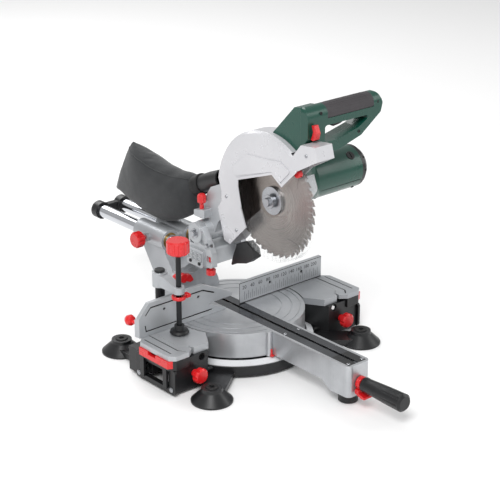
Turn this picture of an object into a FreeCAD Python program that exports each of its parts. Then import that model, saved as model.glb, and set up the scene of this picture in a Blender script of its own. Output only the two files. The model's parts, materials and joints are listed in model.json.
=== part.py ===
import FreeCAD, Part
import math
import os

# Sliding compound mitre saw. Millimetres, +X to the operator's right, +Y away from the
# operator, +Z up. Every piece is drawn about the table centre: the swivel axis is x = y = 0,
# the face of the fences is y = 0 and the top of the table is z = 0. save() then moves it to
# the bench frame, whose origin is the centre of the four bench bolts on the bench itself.

V = FreeCAD.Vector

# --- where the table stands over the bench bolts
TABLE_Z = 80.0
SWIVEL_Y = 16.0
BOLT_X, BOLT_FRONT, BOLT_BACK = 185.0, -150.0, 118.0
BOLT_R = 4.5

# --- fits
RUN = 0.05          # radial clearance of a running fit
GAP = 0.5           # between faces of pieces that move past each other
PART_GAP = 3.0      # between the round table and what surrounds it

# --- base
BODY_X = 225.0
BODY_FRONT, BODY_BACK = -97.0, 40.0
BODY_LOW, BODY_SHOULDER, BODY_TOP = -75.0, -28.0, -13.0
TABLE_X = BODY_X - 30
WALL = 5.0
FRAME_T = 5.0
LOCK_X, LOCK_Z = BODY_X - 43, -46.0
RING_OUT, RING_H = 150.0, 19.0
FOOT_R, FOOT_NECK, FOOT_H = 38.0, 20.0, 26.0
POST_X, POST_Y = 158.0, 30.0
POST_R = 9.0
SOCKET_WALL = 5.0
SOCKET_DEPTH = 42.0
SCREW_R = 3.0

# --- round table and its arm
TURN_R, TURN_H, TURN_TOP = 130.0, 48.0, 7.0
ARM_W, ARM_END, ARM_H, ARM_TIP_H = 26.5, -332.0, 46.0, 60.0
STRIP_W, STRIP_T, SLOT = 21.0, 3.0, 6.4
STRIP_FRONT, STRIP_BACK = -326.0, 74.0
KERF_W, KERF_DEPTH = 13.0, 30.0
PIVOT_R = 8.0
GRIP_Z, GRIP_R, GRIP_LEN = -35.0, 16.5, 96.0
ARM_FOOT_Y, ARM_FOOT_R = -305.0, 18.0

# --- fences
FENCE_H, FENCE_T, FENCE_GAP = 43.0, 8.0, 7.0
RULE_END = 220.0
LEFT_H, LEFT_END = 65.0, -BODY_X - 5

# --- extensions
EXT_X, EXT_FRONT, EXT_BACK, EXT_T = BODY_X + 11, -101.0, 4.0, 9.0
EXT_ROD_R, EXT_ROD_END = 4.0, 40.0
EXT_ROD_Z = BODY_LOW - 1 + RING_H - GAP - EXT_ROD_R
EXT_ROD_FRONT, EXT_ROD_BACK = -78.0, -12.0
GUIDE_START, GUIDE_END = BODY_X - 35, BODY_X - 9
WINDOW = (-84.0, -6.0, -67.0, -36.0)

# --- tilting arm and slide
TRUNNION_R, TRUNNION_FRONT, TRUNNION_BACK = 44.0, 104.0, 122.0
STUB_R = 12.0
LEVER_X, LEVER_Z = -50.0, 39.0
TILT_R, TILT_BACK = 45.0, 186.0
RAIL_R, RAIL_Z = 13.0, 98.0
RAIL_LEFT, RAIL_RIGHT = -40.0, 15.0
RAIL_FRONT, RAIL_END = 36.0, 384.0
BARREL_R, BARREL_FRONT, BARREL_BACK = 21.0, 150.0, 240.0
BUSH_R, BUSH_LEN = 16.0, 24.0
BRIDGE_FRONT, BRIDGE_BACK = 370.0, 387.0

# --- chopping head
CHOP_Y, CHOP_Z, CHOP_PIN_R = 55.0, 145.0, 8.0
EAR_LEFT, EAR_RIGHT, EAR_T = -52.0, 36.0, 13.0
LOCK_PIN_X, LOCK_PIN_Y, LOCK_PIN_LOW = -45.0, 20.0, 70.0
STOP_X, STOP_Y = -33.0, 60.0
BLADE_Y, BLADE_Z, BLADE_R, BLADE_T = -105.0, 241.0, 108.0, 2.4
TEETH = 40
BORE_R = 15.0
FLANGE_R, FLANGE_T = 26.0, 5.0
ARBOR_R = 10.0
MOTOR_Y, MOTOR_Z, MOTOR_R, MOTOR_WALL = -131.0, 278.0, 40.0, 3.0
MOTOR_X, MOTOR_CAP_X, MOTOR_END = 41.0, 158.0, 180.0
BRUSH_R = 8.2
GUARD_LEFT, GUARD_RIGHT, GUARD_WALL, GUARD_R = -25.0, 14.0, 2.5, 131.0
GUARD_BEVEL = 4.5
LOWER_R, LOWER_W, LOWER_T = 113.0, 10.0, 1.6
LOWER_START, LOWER_END = 128.0, 318.0
SWEEP_R = LOWER_R + 1.5
LOWER_HUB_R = 31.0
GRIP_Y, GRIP_TOP, HANDLE_R = -184.0, 432.0, 18.0
WHEEL_TEETH, PINION_TEETH, WHEEL_ROOM = 40, 8, 41.0
SPOUT_R, SPOUT_BORE = 17.0, 14.0

# --- clamp
SPINDLE_X, SPINDLE_Y, SPINDLE_R = -160.0, -28.0, 5.0
CLAMP_ARM_LOW, CLAMP_ARM_HIGH = 80.0, 104.0
KNOB_R, KNOB_LOW, KNOB_HIGH = 21.0, 157.0, 183.0
PAD_R, PAD_LOW = 18.0, 2.0


def place(plane, a, b, level):
    """A point from two coordinates in a plane and the third across it."""
    if plane == "xy":
        return V(a, b, level)
    if plane == "xz":
        return V(a, level, b)
    return V(level, a, b)


def across(plane, length):
    """The vector of a length across a plane."""
    return {"xy": V(0, 0, length), "xz": V(0, length, 0), "yz": V(length, 0, 0)}[plane]


def outline(points, plane, level, radius=0.0):
    """A closed wire through points, with each corner rounded as far as its sides allow."""
    corners = [place(plane, a, b, level) for a, b in points]
    if not radius:
        return Part.makePolygon(corners + corners[:1])
    edges = []
    arcs = []
    count = len(corners)
    for i, corner in enumerate(corners):
        back = corners[i - 1] - corner
        ahead = corners[(i + 1) % count] - corner
        half = back.getAngle(ahead) / 2
        reach = min(radius / math.tan(half), 0.45 * back.Length, 0.45 * ahead.Length)
        back.normalize()
        ahead.normalize()
        bulge = reach / math.cos(half) - reach * math.tan(half)
        middle = (back + ahead).normalize() * bulge
        arcs.append((corner + back * reach, corner + middle, corner + ahead * reach))
    for i, (start, middle, end) in enumerate(arcs):
        edges.append(Part.Arc(start, middle, end).toShape())
        edges.append(Part.makeLine(end, arcs[(i + 1) % count][0]))
    return Part.Wire(edges)


def slab(points, plane, low, high, radius=0.0):
    """A plate of the given outline, from one level to another across its plane."""
    face = Part.Face(outline(points, plane, low, radius))
    return face.extrude(across(plane, high - low))


def block(x0, x1, y0, y1, z0, z1):
    """A box between two corners."""
    return Part.makeBox(x1 - x0, y1 - y0, z1 - z0, V(x0, y0, z0))


def rod(plane, a, b, low, high, radius):
    """A cylinder across a plane, centred at a, b."""
    return Part.makeCylinder(radius, high - low, place(plane, a, b, low), across(plane, 1))


def pipe(plane, a, b, low, high, radius, bore):
    """A cylinder with a bore."""
    return rod(plane, a, b, low, high, radius).cut(rod(plane, a, b, low, high, bore))


def turned(plane, a, b, profile):
    """A solid of revolution across a plane from (level, radius) points, closed on its axis."""
    side = {"xy": V(1, 0, 0), "xz": V(1, 0, 0), "yz": V(0, 1, 0)}[plane]
    points = [place(plane, a, b, level) + side * radius for level, radius in profile]
    axis = [place(plane, a, b, profile[-1][0]), place(plane, a, b, profile[0][0])]
    ring = [points[0]]
    for point in points[1:] + axis + points[:1]:
        if point.distanceToPoint(ring[-1]) > 1e-6:
            ring.append(point)
    face = Part.Face(Part.makePolygon(ring))
    return face.revolve(place(plane, a, b, 0), across(plane, 1), 360)


def joined(first, *others):
    """One solid from pieces that touch or overlap."""
    return first.multiFuse(list(others)).removeSplitter()


def knob(plane, a, b, low, high, radius, flutes, depth=2.2):
    """A round knob with flutes cut along its side."""
    edge = min(3.0, (high - low) / 4)
    body = turned(plane, a, b, [(low, radius - edge), (low + edge, radius),
                                (high - edge, radius), (high, radius - edge)])
    cuts = []
    for i in range(flutes):
        turn = 2 * math.pi * i / flutes
        reach = radius + 3.0 - depth
        cuts.append(rod(plane, a + reach * math.cos(turn), b + reach * math.sin(turn),
                        low - 1, high + 1, 3.0))
    return body.cut(Part.makeCompound(cuts))


def mirrored(shape):
    """The same piece on the other side of the saw."""
    return shape.mirror(V(0, 0, 0), V(1, 0, 0))


def both(shape):
    """A piece and its mirror image, as two solids of one node."""
    return Part.makeCompound([shape, mirrored(shape)])


def sector(plane, a, b, low, high, radius, start, end):
    """A pie slice across the yz plane, from one angle to another, in degrees from +Y to +Z."""
    steps = max(2, int(abs(end - start) / 30) + 1)
    reach = radius / math.cos(math.radians(abs(end - start) / steps / 2))
    points = [(a, b)]
    for i in range(steps + 1):
        turn = math.radians(start + (end - start) * i / steps)
        points.append((a + reach * math.cos(turn), b + reach * math.sin(turn)))
    return rod(plane, a, b, low, high, radius).common(slab(points, plane, low, high))


def save(node, shape):
    """Move a piece to the bench frame and write it."""
    moved = shape.copy()
    moved.translate(V(0, SWIVEL_Y, TABLE_Z))
    moved.exportStep("parts/" + node + ".step")


# ---------------------------------------------------------------- base

def body_outline(grow=0.0):
    """The right half of the base housing, in plan."""
    return [(138 + grow, BODY_BACK), (BODY_X, BODY_BACK), (BODY_X, BODY_FRONT),
            (150, BODY_FRONT), (123, -55), (118, BODY_BACK)]


def base_filled():
    """The right half of the base as solid lumps: low box, shoulder and ring."""
    clear = rod("xy", 0, 0, BODY_LOW - 5, 5, TURN_R + PART_GAP + 1)
    low = slab(body_outline(), "xy", BODY_LOW, BODY_SHOULDER).cut(clear)
    shoulder = [(x if x < TABLE_X else TABLE_X, y) for x, y in body_outline()]
    high = slab(shoulder, "xy", BODY_SHOULDER, BODY_TOP).cut(clear)
    return low, high


def hollow(lump, low, high):
    """The inside of a lump: its plan drawn in by the wall."""
    flat = max((f for f in lump.Faces if abs(f.CenterOfMass.z - lump.BoundBox.ZMin) < 1e-6),
               key=lambda f: f.Area)
    inner = flat.makeOffset2D(-WALL)
    inner.translate(V(0, 0, low - lump.BoundBox.ZMin))
    return inner.extrude(V(0, 0, high - low))


def ext_rod_bores():
    """The bores that the right extension slides in, through the ring and the guides."""
    return [rod("yz", y, EXT_ROD_Z, 60, GUIDE_END + 1, EXT_ROD_R + RUN)
            for y in (EXT_ROD_FRONT, EXT_ROD_BACK)]


def ext_guides():
    """The two guides that hang inside the right housing."""
    return [block(GUIDE_START, GUIDE_END, y - 6, y + 6, EXT_ROD_Z - 6, BODY_SHOULDER - WALL + 1)
            for y in (EXT_ROD_FRONT, EXT_ROD_BACK)]


def lock_knob_places():
    """The front screws that lock the extensions: x and z."""
    return [(-LOCK_X, LOCK_Z), (LOCK_X, LOCK_Z)]


def base_casting():
    """The base: a low ring for the round table, a hollow housing each side, sockets."""
    low, high = base_filled()
    inside = hollow(low, BODY_LOW - 1, BODY_SHOULDER - WALL)
    neck = hollow(high, BODY_SHOULDER - WALL - 1, BODY_TOP - 4)
    half = joined(low, high).cut(Part.makeCompound([inside, neck]))
    socket = rod("xy", POST_X, POST_Y, BODY_TOP - SOCKET_DEPTH, BODY_TOP, POST_R + SOCKET_WALL)
    socket = socket.common(joined(low, high))
    half = joined(half, socket, *ext_guides())
    half = half.cut(rod("xy", POST_X, POST_Y, BODY_TOP - SOCKET_DEPTH - 1, 5, POST_R + RUN))
    half = half.cut(rod("xz", 164, -20, BODY_FRONT - 1, BODY_FRONT + WALL + 1, 7))
    ring = pipe("xy", 0, 0, BODY_LOW - 1, BODY_LOW - 1 + RING_H, RING_OUT, TURN_R + PART_GAP + 1)
    floor = rod("xy", 0, 0, BODY_LOW + 1, BODY_LOW + 7, TURN_R + PART_GAP + 3)
    boss = rod("xy", 0, 0, BODY_LOW + 1, -TURN_H - 2, 24)
    base = joined(ring, floor, boss, half, mirrored(half))
    bores = Part.makeCompound(ext_rod_bores())
    base = base.cut(rod("xy", 0, 0, BODY_LOW, 0, PIVOT_R)).cut(bores).cut(mirrored(bores))
    locks = [rod("xz", x, z, BODY_FRONT - 1, BODY_FRONT + WALL + 1, SCREW_R + 1 + RUN)
             for x, z in lock_knob_places()]
    rail = block(-TABLE_X, -TURN_R - 12, FENCE_T + 6, FENCE_T + 12, BODY_TOP - 1, 10)
    windows = end_cuts(BODY_X - WALL - 1, BODY_X + 1)
    base = base.cut(Part.makeCompound(locks)).cut(windows).cut(mirrored(windows))
    return joined(base, rail)


def outrigger_feet():
    """Four flared feet, each reaching out from the base with a bench-bolt hole."""
    low, high = base_filled()
    ring = rod("xy", 0, 0, -TABLE_Z, BODY_TOP, RING_OUT)
    keep_out = Part.makeCompound([low, mirrored(low), ring])
    feet = []
    for side in (-1, 1):
        for y, reach in ((BOLT_FRONT, (112, -90)), (BOLT_BACK, (BOLT_X - 8, BODY_BACK))):
            x = side * BOLT_X
            cone = turned("xy", x, y, [(-TABLE_Z, FOOT_R), (-TABLE_Z + 3, FOOT_R),
                                       (-TABLE_Z + FOOT_H - 6, FOOT_NECK),
                                       (-TABLE_Z + FOOT_H, FOOT_NECK - 1)])
            along = V(side * reach[0] - x, reach[1] - y, 0)
            beside = V(-along.y, along.x, 0).normalize() * FOOT_NECK
            start, end = V(x, y, 0), V(side * reach[0], reach[1], 0)
            arm = [start + beside, end + beside * 1.2, end - beside * 1.2, start - beside]
            plan = [(p.x, p.y) for p in arm]
            web = slab(plan, "xy", -TABLE_Z + 4, EXT_ROD_Z - EXT_ROD_R - GAP)
            foot = joined(cone, web).cut(keep_out)
            foot = max(foot.Solids, key=lambda s: s.Volume)
            feet.append(foot.cut(rod("xy", x, y, -TABLE_Z - 1, 0, BOLT_R)))
    return Part.makeCompound(feet)


def frame_screw_places():
    """The screws that hold an end frame: y and z."""
    return [(BODY_FRONT + 5, -67.0), (3.0, -67.0)]


def end_cuts(low, high):
    """The carrying window and the screw holes of the right end, between two levels."""
    front, back, bottom, top = WINDOW
    window = slab([(front, bottom), (back, bottom), (back, top), (front, top)], "yz", low, high, 4)
    holes = [rod("yz", y, z, low, high, SCREW_R) for y, z in frame_screw_places()]
    return Part.makeCompound([window] + holes)


def end_frames():
    """A plate with a carrying window on each end of the base."""
    plate = slab([(BODY_FRONT - 5, -76), (13, -76), (13, BODY_SHOULDER), (BODY_FRONT - 5, BODY_SHOULDER)],
                 "yz", BODY_X, BODY_X + FRAME_T, 6)
    cuts = end_cuts(BODY_X - 1, BODY_X + FRAME_T + 1)
    return both(plate.cut(cuts))


def button_screw(plane, a, b, seat, length, head_out, head_r=5.0):
    """A screw with a low round head: the head stands on its seat, the shank goes the other way."""
    step = 1 if head_out else -1
    head = [(seat, head_r), (seat + step * 1.6, head_r), (seat + step * 2.8, head_r * 0.6)]
    head.sort()
    low, high = sorted((seat, seat - step * length))
    return joined(turned(plane, a, b, head), rod(plane, a, b, low, high, SCREW_R))


def base_screws():
    """The end frame screws."""
    screws = [button_screw("yz", y, z, BODY_X + FRAME_T, FRAME_T + WALL, True)
              for y, z in frame_screw_places()]
    return Part.makeCompound(screws + [mirrored(s) for s in screws])


def fixed_outline():
    """The plan of the right table plate."""
    return [(TABLE_X, 12), (TABLE_X, -68), (TABLE_X - 14, -80), (TABLE_X - 18, -91), (144, -91), (121, -55), (118, 12)]


def table_plates():
    """The fixed tables on either side of the round table, with a line cut before the fences."""
    plate = slab(fixed_outline(), "xy", BODY_TOP, 0)
    line = block(0, TABLE_X + 1, -2.5, -1, -1, 1)
    clear = rod("xy", 0, 0, BODY_TOP - 1, 1, TURN_R + PART_GAP)
    return both(plate.cut(clear).cut(line))


def scale_ring():
    """The sloping ring round the table that carries the mitre scale."""
    low = BODY_LOW - 1 + RING_H
    bore = TURN_R + PART_GAP + 1
    ring = turned("xy", 0, 0, [(low, RING_OUT - 3), (low + 1.5, RING_OUT - 3), (low + 7, bore + 2)])
    ring = ring.cut(rod("xy", 0, 0, low - 1, 0, bore))
    lump = base_filled()[0]
    arcs = ring.cut(Part.makeCompound([lump, mirrored(lump)]))
    return min(arcs.Solids, key=lambda s: s.CenterOfMass.y)


def right_fence():
    """The fixed fence with the rule: a plate, its foot on the base and two ribs."""
    plate = slab([(FENCE_GAP, 0), (RULE_END, 0), (RULE_END, FENCE_T), (FENCE_GAP + 12, FENCE_T)],
                 "xy", 0.3, FENCE_H)
    foot = block(TURN_R + 8, RULE_END - 26, FENCE_T, FENCE_T + 4, 0.3, 12)
    ribs = [slab([(FENCE_T, 0.3), (FENCE_T + 4, 0.3), (FENCE_T, FENCE_H - 8)], "yz", x, x + 6)
            for x in (TURN_R + 12, RULE_END - 36)]
    fence = joined(plate, foot, *ribs)
    holes = [rod("xz", x, 24.5, -1, FENCE_T + 1, SCREW_R) for x in (85, 167)]
    return fence.cut(Part.makeCompound(holes))


def pivot_bolt():
    """The bolt the round table turns on."""
    low = BODY_LOW + 1
    shank = rod("xy", 0, 0, low, -33, PIVOT_R)
    head = rod("xy", 0, 0, -33, -31, PIVOT_R + 4)
    return joined(shank, head)


# ---------------------------------------------------------------- left fence, extensions

def groove(points, width, depth, face, plane, into=1):
    """A groove of constant width that follows points on a face."""
    cuts = []
    for (a0, b0), (a1, b1) in zip(points, points[1:]):
        length = math.hypot(a1 - a0, b1 - b0)
        na, nb = -(b1 - b0) / length * width / 2, (a1 - a0) / length * width / 2
        run = [(a0 + na, b0 + nb), (a1 + na, b1 + nb), (a1 - na, b1 - nb), (a0 - na, b0 - nb)]
        low, high = sorted((face - into, face + into * depth))
        cuts.append(slab(run, plane, low, high))
        cuts.append(rod(plane, a1, b1, low, high, width / 2))
    return cuts


def left_fence():
    """The sliding fence: a tall plate with a sloping nose, decorative grooves and two holes."""
    points = [(LEFT_END, 0.3), (LEFT_END, 39), (-207.5, 64), (-80, LEFT_H), (-FENCE_GAP - 3, 31.6),
              (-FENCE_GAP - 5, 24), (-72, 24), (-24, 3), (-28, 0.3)]
    plate = slab(points, "xz", 0, FENCE_T, 1.5)
    nose = slab([(-FENCE_GAP - 6, FENCE_T + 1), (-FENCE_GAP - 2.5, -0.1), (0, -1), (0, FENCE_T + 1)],
                "xy", 0, LEFT_H)
    cuts = groove([(-216, 22), (-214, 10), (-60, 10)], 3, 1.5, 0, "xz")
    cuts += groove([(-215, 41), (-203, 54), (-82, 54), (-54, 42)], 3, 1.5, 0, "xz")
    cuts += [rod("xz", x, z, -1, FENCE_T + 1, SCREW_R) for x, z in ((-172, 43), (-92.5, 44))]
    runner = block(LEFT_END + 4, -80, FENCE_T - 1, FENCE_T + 6 - GAP, 0.3, 10)
    lug = block(LEFT_END, LEFT_END + 14, FENCE_T - 1, FENCE_T + 5.5, 0.3, 34)
    fence = joined(plate.cut(Part.makeCompound([nose] + cuts)), runner, lug)
    return fence.cut(rod("xz", LEFT_END + 6, 24, FENCE_T, FENCE_T + 6, 3.5 + RUN))


def fence_knob():
    """The small round-headed screw that locks the sliding fence, behind its left end."""
    x, z = LEFT_END + 6, 24.0
    ball = turned("xz", x, z, [(FENCE_T + 20, 5), (FENCE_T + 22, 9), (FENCE_T + 28, 10.5),
                               (FENCE_T + 34, 8), (FENCE_T + 36, 4)])
    return joined(ball, rod("xz", x, z, FENCE_T + 0.3, FENCE_T + 21, 3.5))


def ext_outline():
    """The plan of the right extension at rest, against the fixed table."""
    return [(TABLE_X + GAP, EXT_BACK), (EXT_X - 14, EXT_BACK), (EXT_X, EXT_BACK - 14), (EXT_X, -92),
            (EXT_X - 11, EXT_FRONT), (TABLE_X + 1, EXT_FRONT), (TABLE_X - 13 + GAP, -91), (TABLE_X - 13 + GAP, -80),
            (TABLE_X + GAP, -68)]


def ext_top():
    """The silver top of an extension, with its grooves."""
    plate = slab(ext_outline(), "xy", -EXT_T, 0, 1.5)
    cuts = groove([(TABLE_X + 12, EXT_BACK + 2), (TABLE_X + 12, -82), (TABLE_X + 3, -93)], 3, 1.5, 0,
                  "xy", -1)
    cuts += groove([(EXT_X - 12, -6), (EXT_X - 12, -84)], 3, 1.5, 0, "xy", -1)
    return plate.cut(Part.makeCompound(cuts))


def ext_frame():
    """The black carrier of an extension: a tray, two legs and the two guide rods."""
    start, low = TABLE_X + GAP, BODY_SHOULDER + GAP
    tray = slab([(start, EXT_BACK), (EXT_X - 14, EXT_BACK), (EXT_X, EXT_BACK - 14), (EXT_X, -92),
                 (EXT_X - 11, EXT_FRONT), (start, EXT_FRONT)], "xy", low, -EXT_T, 1.5)
    notch = block(EXT_X - 6, EXT_X + 3, EXT_FRONT - 1, EXT_BACK + 1, low + 4, -EXT_T + 1)
    tray = tray.cut(notch)
    pieces = []
    for y in (EXT_ROD_FRONT, EXT_ROD_BACK):
        pieces.append(block(BODY_X + FRAME_T + GAP, EXT_X - 1, y - 5, y + 5, EXT_ROD_Z - 5, low + 2))
        pieces.append(rod("yz", y, EXT_ROD_Z, EXT_ROD_END, EXT_X - 2, EXT_ROD_R))
    return joined(tray, *pieces)


def ext_strip():
    """The coloured strip that edges the outer end of an extension."""
    low, high = BODY_SHOULDER + GAP + 4, -EXT_T
    edge = slab([(EXT_X - 6, EXT_BACK - 8), (EXT_X, EXT_BACK - 14), (EXT_X + 3, EXT_BACK - 14),
                 (EXT_X + 3, -92), (EXT_X - 6, EXT_FRONT + 4)], "xy", low, high)
    step = block(EXT_X - 7, EXT_X + 4, -58, -36, high - 6, high + 1)
    return edge.cut(step)


def lock_knob(x, z):
    """A front knob with its screw, which locks an extension's front rod."""
    head = knob("xz", x, z, BODY_FRONT - 24, BODY_FRONT - 10, 14.5, 6, 2.5)
    collar = rod("xz", x, z, BODY_FRONT - 11, BODY_FRONT - GAP, 7)
    screw = rod("xz", x, z, BODY_FRONT - 1, BODY_FRONT + 10, SCREW_R + 1)
    return joined(head, collar, screw)


# ---------------------------------------------------------------- round table

def turntable():
    """The round table: a hollow disc, the long slotted arm, a hub and the rear trunnion."""
    disc = rod("xy", 0, 0, -TURN_H, 0, TURN_R)
    under = pipe("xy", 0, 0, -TURN_H - 1, -TURN_TOP, TURN_R - 6, 20)
    rings = [pipe("xy", 0, 0, -1.0, 1, r + 2.5, r) for r in (84, 104, 120)]
    arm = slab([(-ARM_W, -100), (ARM_W, -100), (ARM_W, ARM_END), (-ARM_W, ARM_END)],
               "xy", -ARM_H, 0)
    tip = slab([(-262, -ARM_H), (-285, -ARM_TIP_H), (ARM_END, -ARM_TIP_H), (ARM_END, -ARM_H)],
               "yz", -ARM_W, ARM_W)
    arm = joined(arm, tip)
    rounding = slab([(-ARM_W, -100), (ARM_W, -100), (ARM_W, ARM_END), (-ARM_W, ARM_END)],
                    "xy", -ARM_TIP_H - 1, 1, 10)
    arm = arm.common(rounding)
    hollow_arm = block(-ARM_W + 5, ARM_W - 5, -276, -90, -ARM_H - 1, -KERF_DEPTH - 4)
    rear = slab([(-40, 90), (40, 90), (40, TRUNNION_BACK), (-40, TRUNNION_BACK)], "xy", -TURN_H, -8)
    trunnion = rod("xz", 0, 0, TRUNNION_FRONT, TRUNNION_BACK, TRUNNION_R)
    lug = rod("xy", -31, -TURN_R + 2, -TURN_H, -0.5, 5.5)
    behind = block(-TRUNNION_BACK, TRUNNION_BACK, TRUNNION_BACK, max(TURN_R, TRUNNION_BACK) + 1,
                   -TURN_H - 1, 1)
    ear = slab([(-20, 0), (LEVER_X - 11, LEVER_Z - 12), (LEVER_X - 8, LEVER_Z + 12), (-18, 40)], "xz",
               TRUNNION_FRONT, TRUNNION_BACK, 6)
    table = joined(disc.cut(Part.makeCompound([under] + rings)), lug).cut(behind)
    table = joined(table, arm.cut(hollow_arm), rear, trunnion, ear)
    recess = block(-STRIP_W, STRIP_W, STRIP_FRONT, STRIP_BACK, -STRIP_T, 1)
    kerf = block(-KERF_W, KERF_W, STRIP_FRONT + 12, STRIP_BACK - 8, -KERF_DEPTH, 1)
    hub = rod("xy", 0, 0, -TURN_H - 3, -KERF_DEPTH - 3.2, PIVOT_R + RUN)
    head = rod("xy", 0, 0, -33 - 0.3, -KERF_DEPTH + 1, PIVOT_R + 4.5)
    boss = rod("xy", 0, 0, -TURN_H - 1.7, -TURN_H, 20)
    bores = [rod("xz", 0, 0, TRUNNION_FRONT - 1, TRUNNION_BACK + 1, STUB_R + RUN),
             rod("xz", LEVER_X, LEVER_Z, TRUNNION_FRONT - 1, TRUNNION_BACK + 1, 4 + RUN),
             rod("xz", 0, GRIP_Z, ARM_END - 1, -280, 6 + RUN),
             rod("xy", 0, ARM_FOOT_Y, -ARM_TIP_H - 1, -45, 5 + RUN)]
    table = joined(table, boss)
    return table.cut(Part.makeCompound([recess])).cut(kerf).cut(hub).cut(head).cut(
        Part.makeCompound(bores))


def insert_strips():
    """The two steel strips that leave the kerf slot between them."""
    strip = block(SLOT / 2, STRIP_W, STRIP_FRONT, STRIP_BACK, -STRIP_T, 0)
    return both(strip)


def mitre_grip():
    """The fluted grip that locks the round table, moulded on its screw."""
    start = ARM_END - 14
    end = start - GRIP_LEN
    grip = turned("xz", 0, GRIP_Z, [(end, GRIP_R - 4), (end + 4, GRIP_R), (end + 40, GRIP_R - 1),
                                    (start - 8, GRIP_R - 3.5), (start, GRIP_R - 3)])
    flutes = [rod("xz", (GRIP_R + 1.4) * math.cos(t), GRIP_Z + (GRIP_R + 1.4) * math.sin(t),
                  end + 6, start - 8, 3.0)
              for t in (2 * math.pi * i / 8 for i in range(8))]
    screw = rod("xz", 0, GRIP_Z, start - 1, -284, 6)
    return joined(grip.cut(Part.makeCompound(flutes)), screw)


def detent_lever():
    """The lever under the grip that lifts the detent, on a sleeve round the screw."""
    sleeve = pipe("xz", 0, GRIP_Z, ARM_END - 11, ARM_END - 2, 12.5, 7.2)
    paddle = slab([(ARM_END - 11, GRIP_Z - 9), (ARM_END - 2, GRIP_Z - 9), (ARM_END - 2, GRIP_Z - 17),
                   (ARM_END - 18, GRIP_Z - 23), (ARM_END - 26, GRIP_Z - 22), (ARM_END - 25, GRIP_Z - 19),
                   (ARM_END - 11, GRIP_Z - 15)], "yz", -13, 13)
    return joined(sleeve, paddle)


def arm_foot():
    """The foot under the end of the arm, on its screw."""
    pad = turned("xy", 0, ARM_FOOT_Y, [(-TABLE_Z, ARM_FOOT_R - 1), (-TABLE_Z + 1, ARM_FOOT_R),
                                       (-ARM_TIP_H - 3, ARM_FOOT_R), (-ARM_TIP_H - 1, ARM_FOOT_R - 2)])
    return joined(pad, rod("xy", 0, ARM_FOOT_Y, -ARM_TIP_H - 2, -47, 5))


# ---------------------------------------------------------------- tilting arm and slide

def rail_places():
    """The two rails: x."""
    return [RAIL_LEFT, RAIL_RIGHT]


def tilt_arm():
    """The tilting arm: a drum on the trunnion, a neck and the two slide barrels."""
    front = TRUNNION_BACK + GAP
    drum = rod("xz", 0, 0, front, TILT_BACK, TILT_R)
    stub = rod("xz", 0, 0, TRUNNION_FRONT + 2, front + 1, STUB_R)
    neck = slab([(front + 12, 20), (TILT_BACK, 10), (BARREL_BACK - 14, 70), (BARREL_BACK - 10, RAIL_Z + 8),
                 (BARREL_FRONT + 8, RAIL_Z + 8), (BARREL_FRONT + 6, 70), (front + 12, 42)],
                "yz", RAIL_LEFT - 8, RAIL_RIGHT + 12, 6)
    barrels = [rod("xz", x, RAIL_Z, BARREL_FRONT, BARREL_BACK, BARREL_R) for x in rail_places()]
    boss = rod("yz", 195, RAIL_Z, RAIL_LEFT - BARREL_R - 6, RAIL_LEFT, 9)
    arm = joined(drum, stub, neck, boss, *barrels)
    bores = [rod("xz", x, RAIL_Z, BARREL_FRONT - 1, BARREL_BACK + 1, BUSH_R) for x in rail_places()]
    lock = rod("yz", 195, RAIL_Z, RAIL_LEFT - BARREL_R - 8, RAIL_LEFT, 4 + RUN)
    return arm.cut(Part.makeCompound(bores + [lock]))


def rail_bushes():
    """Four plain bushes, one at each end of each barrel."""
    bushes = []
    for x in rail_places():
        for start in (BARREL_FRONT, BARREL_BACK - BUSH_LEN):
            bushes.append(pipe("xz", x, RAIL_Z, start, start + BUSH_LEN, BUSH_R, RAIL_R + RUN))
    return Part.makeCompound(bushes)


def bevel_lever():
    """The wing lever that locks the tilt, in front of the trunnion's ear."""
    high = TRUNNION_FRONT - GAP
    hub = rod("xz", LEVER_X, LEVER_Z, high - 9, high, 9)
    screw = rod("xz", LEVER_X, LEVER_Z, high - 1, TRUNNION_BACK - 2, 4)
    wings = []
    for side in (-1, 1):
        reach = [(-4, 7), (4, -7), (16, -12), (24, -9), (16, 4)]
        wings.append(slab([(LEVER_X + side * a, LEVER_Z + side * b) for a, b in reach], "xz",
                          high - 8, high - 1, 2))
    return joined(hub, screw, *wings)


def slide_knob():
    """The knob that locks the slide, on the left barrel."""
    x = RAIL_LEFT - BARREL_R - 6
    head = knob("yz", 195, RAIL_Z, x - 26, x - 8, 16, 8, 2.5)
    screw = rod("yz", 195, RAIL_Z, x - 9, RAIL_LEFT - RAIL_R - 0.6, 4)
    return joined(head, screw)


def rails():
    """The two slide rails."""
    return Part.makeCompound([rod("xz", x, RAIL_Z, RAIL_FRONT, RAIL_END, RAIL_R)
                              for x in rail_places()])


def rail_bridge():
    """The bridge with caps that ties the rear ends of the rails."""
    caps = [rod("xz", x, RAIL_Z, BRIDGE_FRONT, BRIDGE_BACK, RAIL_R + 4.5) for x in rail_places()]
    tie = block(RAIL_LEFT, RAIL_RIGHT, BRIDGE_FRONT + 2, BRIDGE_BACK - 2, RAIL_Z - 10, RAIL_Z + 10)
    bores = [rod("xz", x, RAIL_Z, BRIDGE_FRONT - 1, RAIL_END, RAIL_R) for x in rail_places()]
    return joined(tie, *caps).cut(Part.makeCompound(bores))


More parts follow.
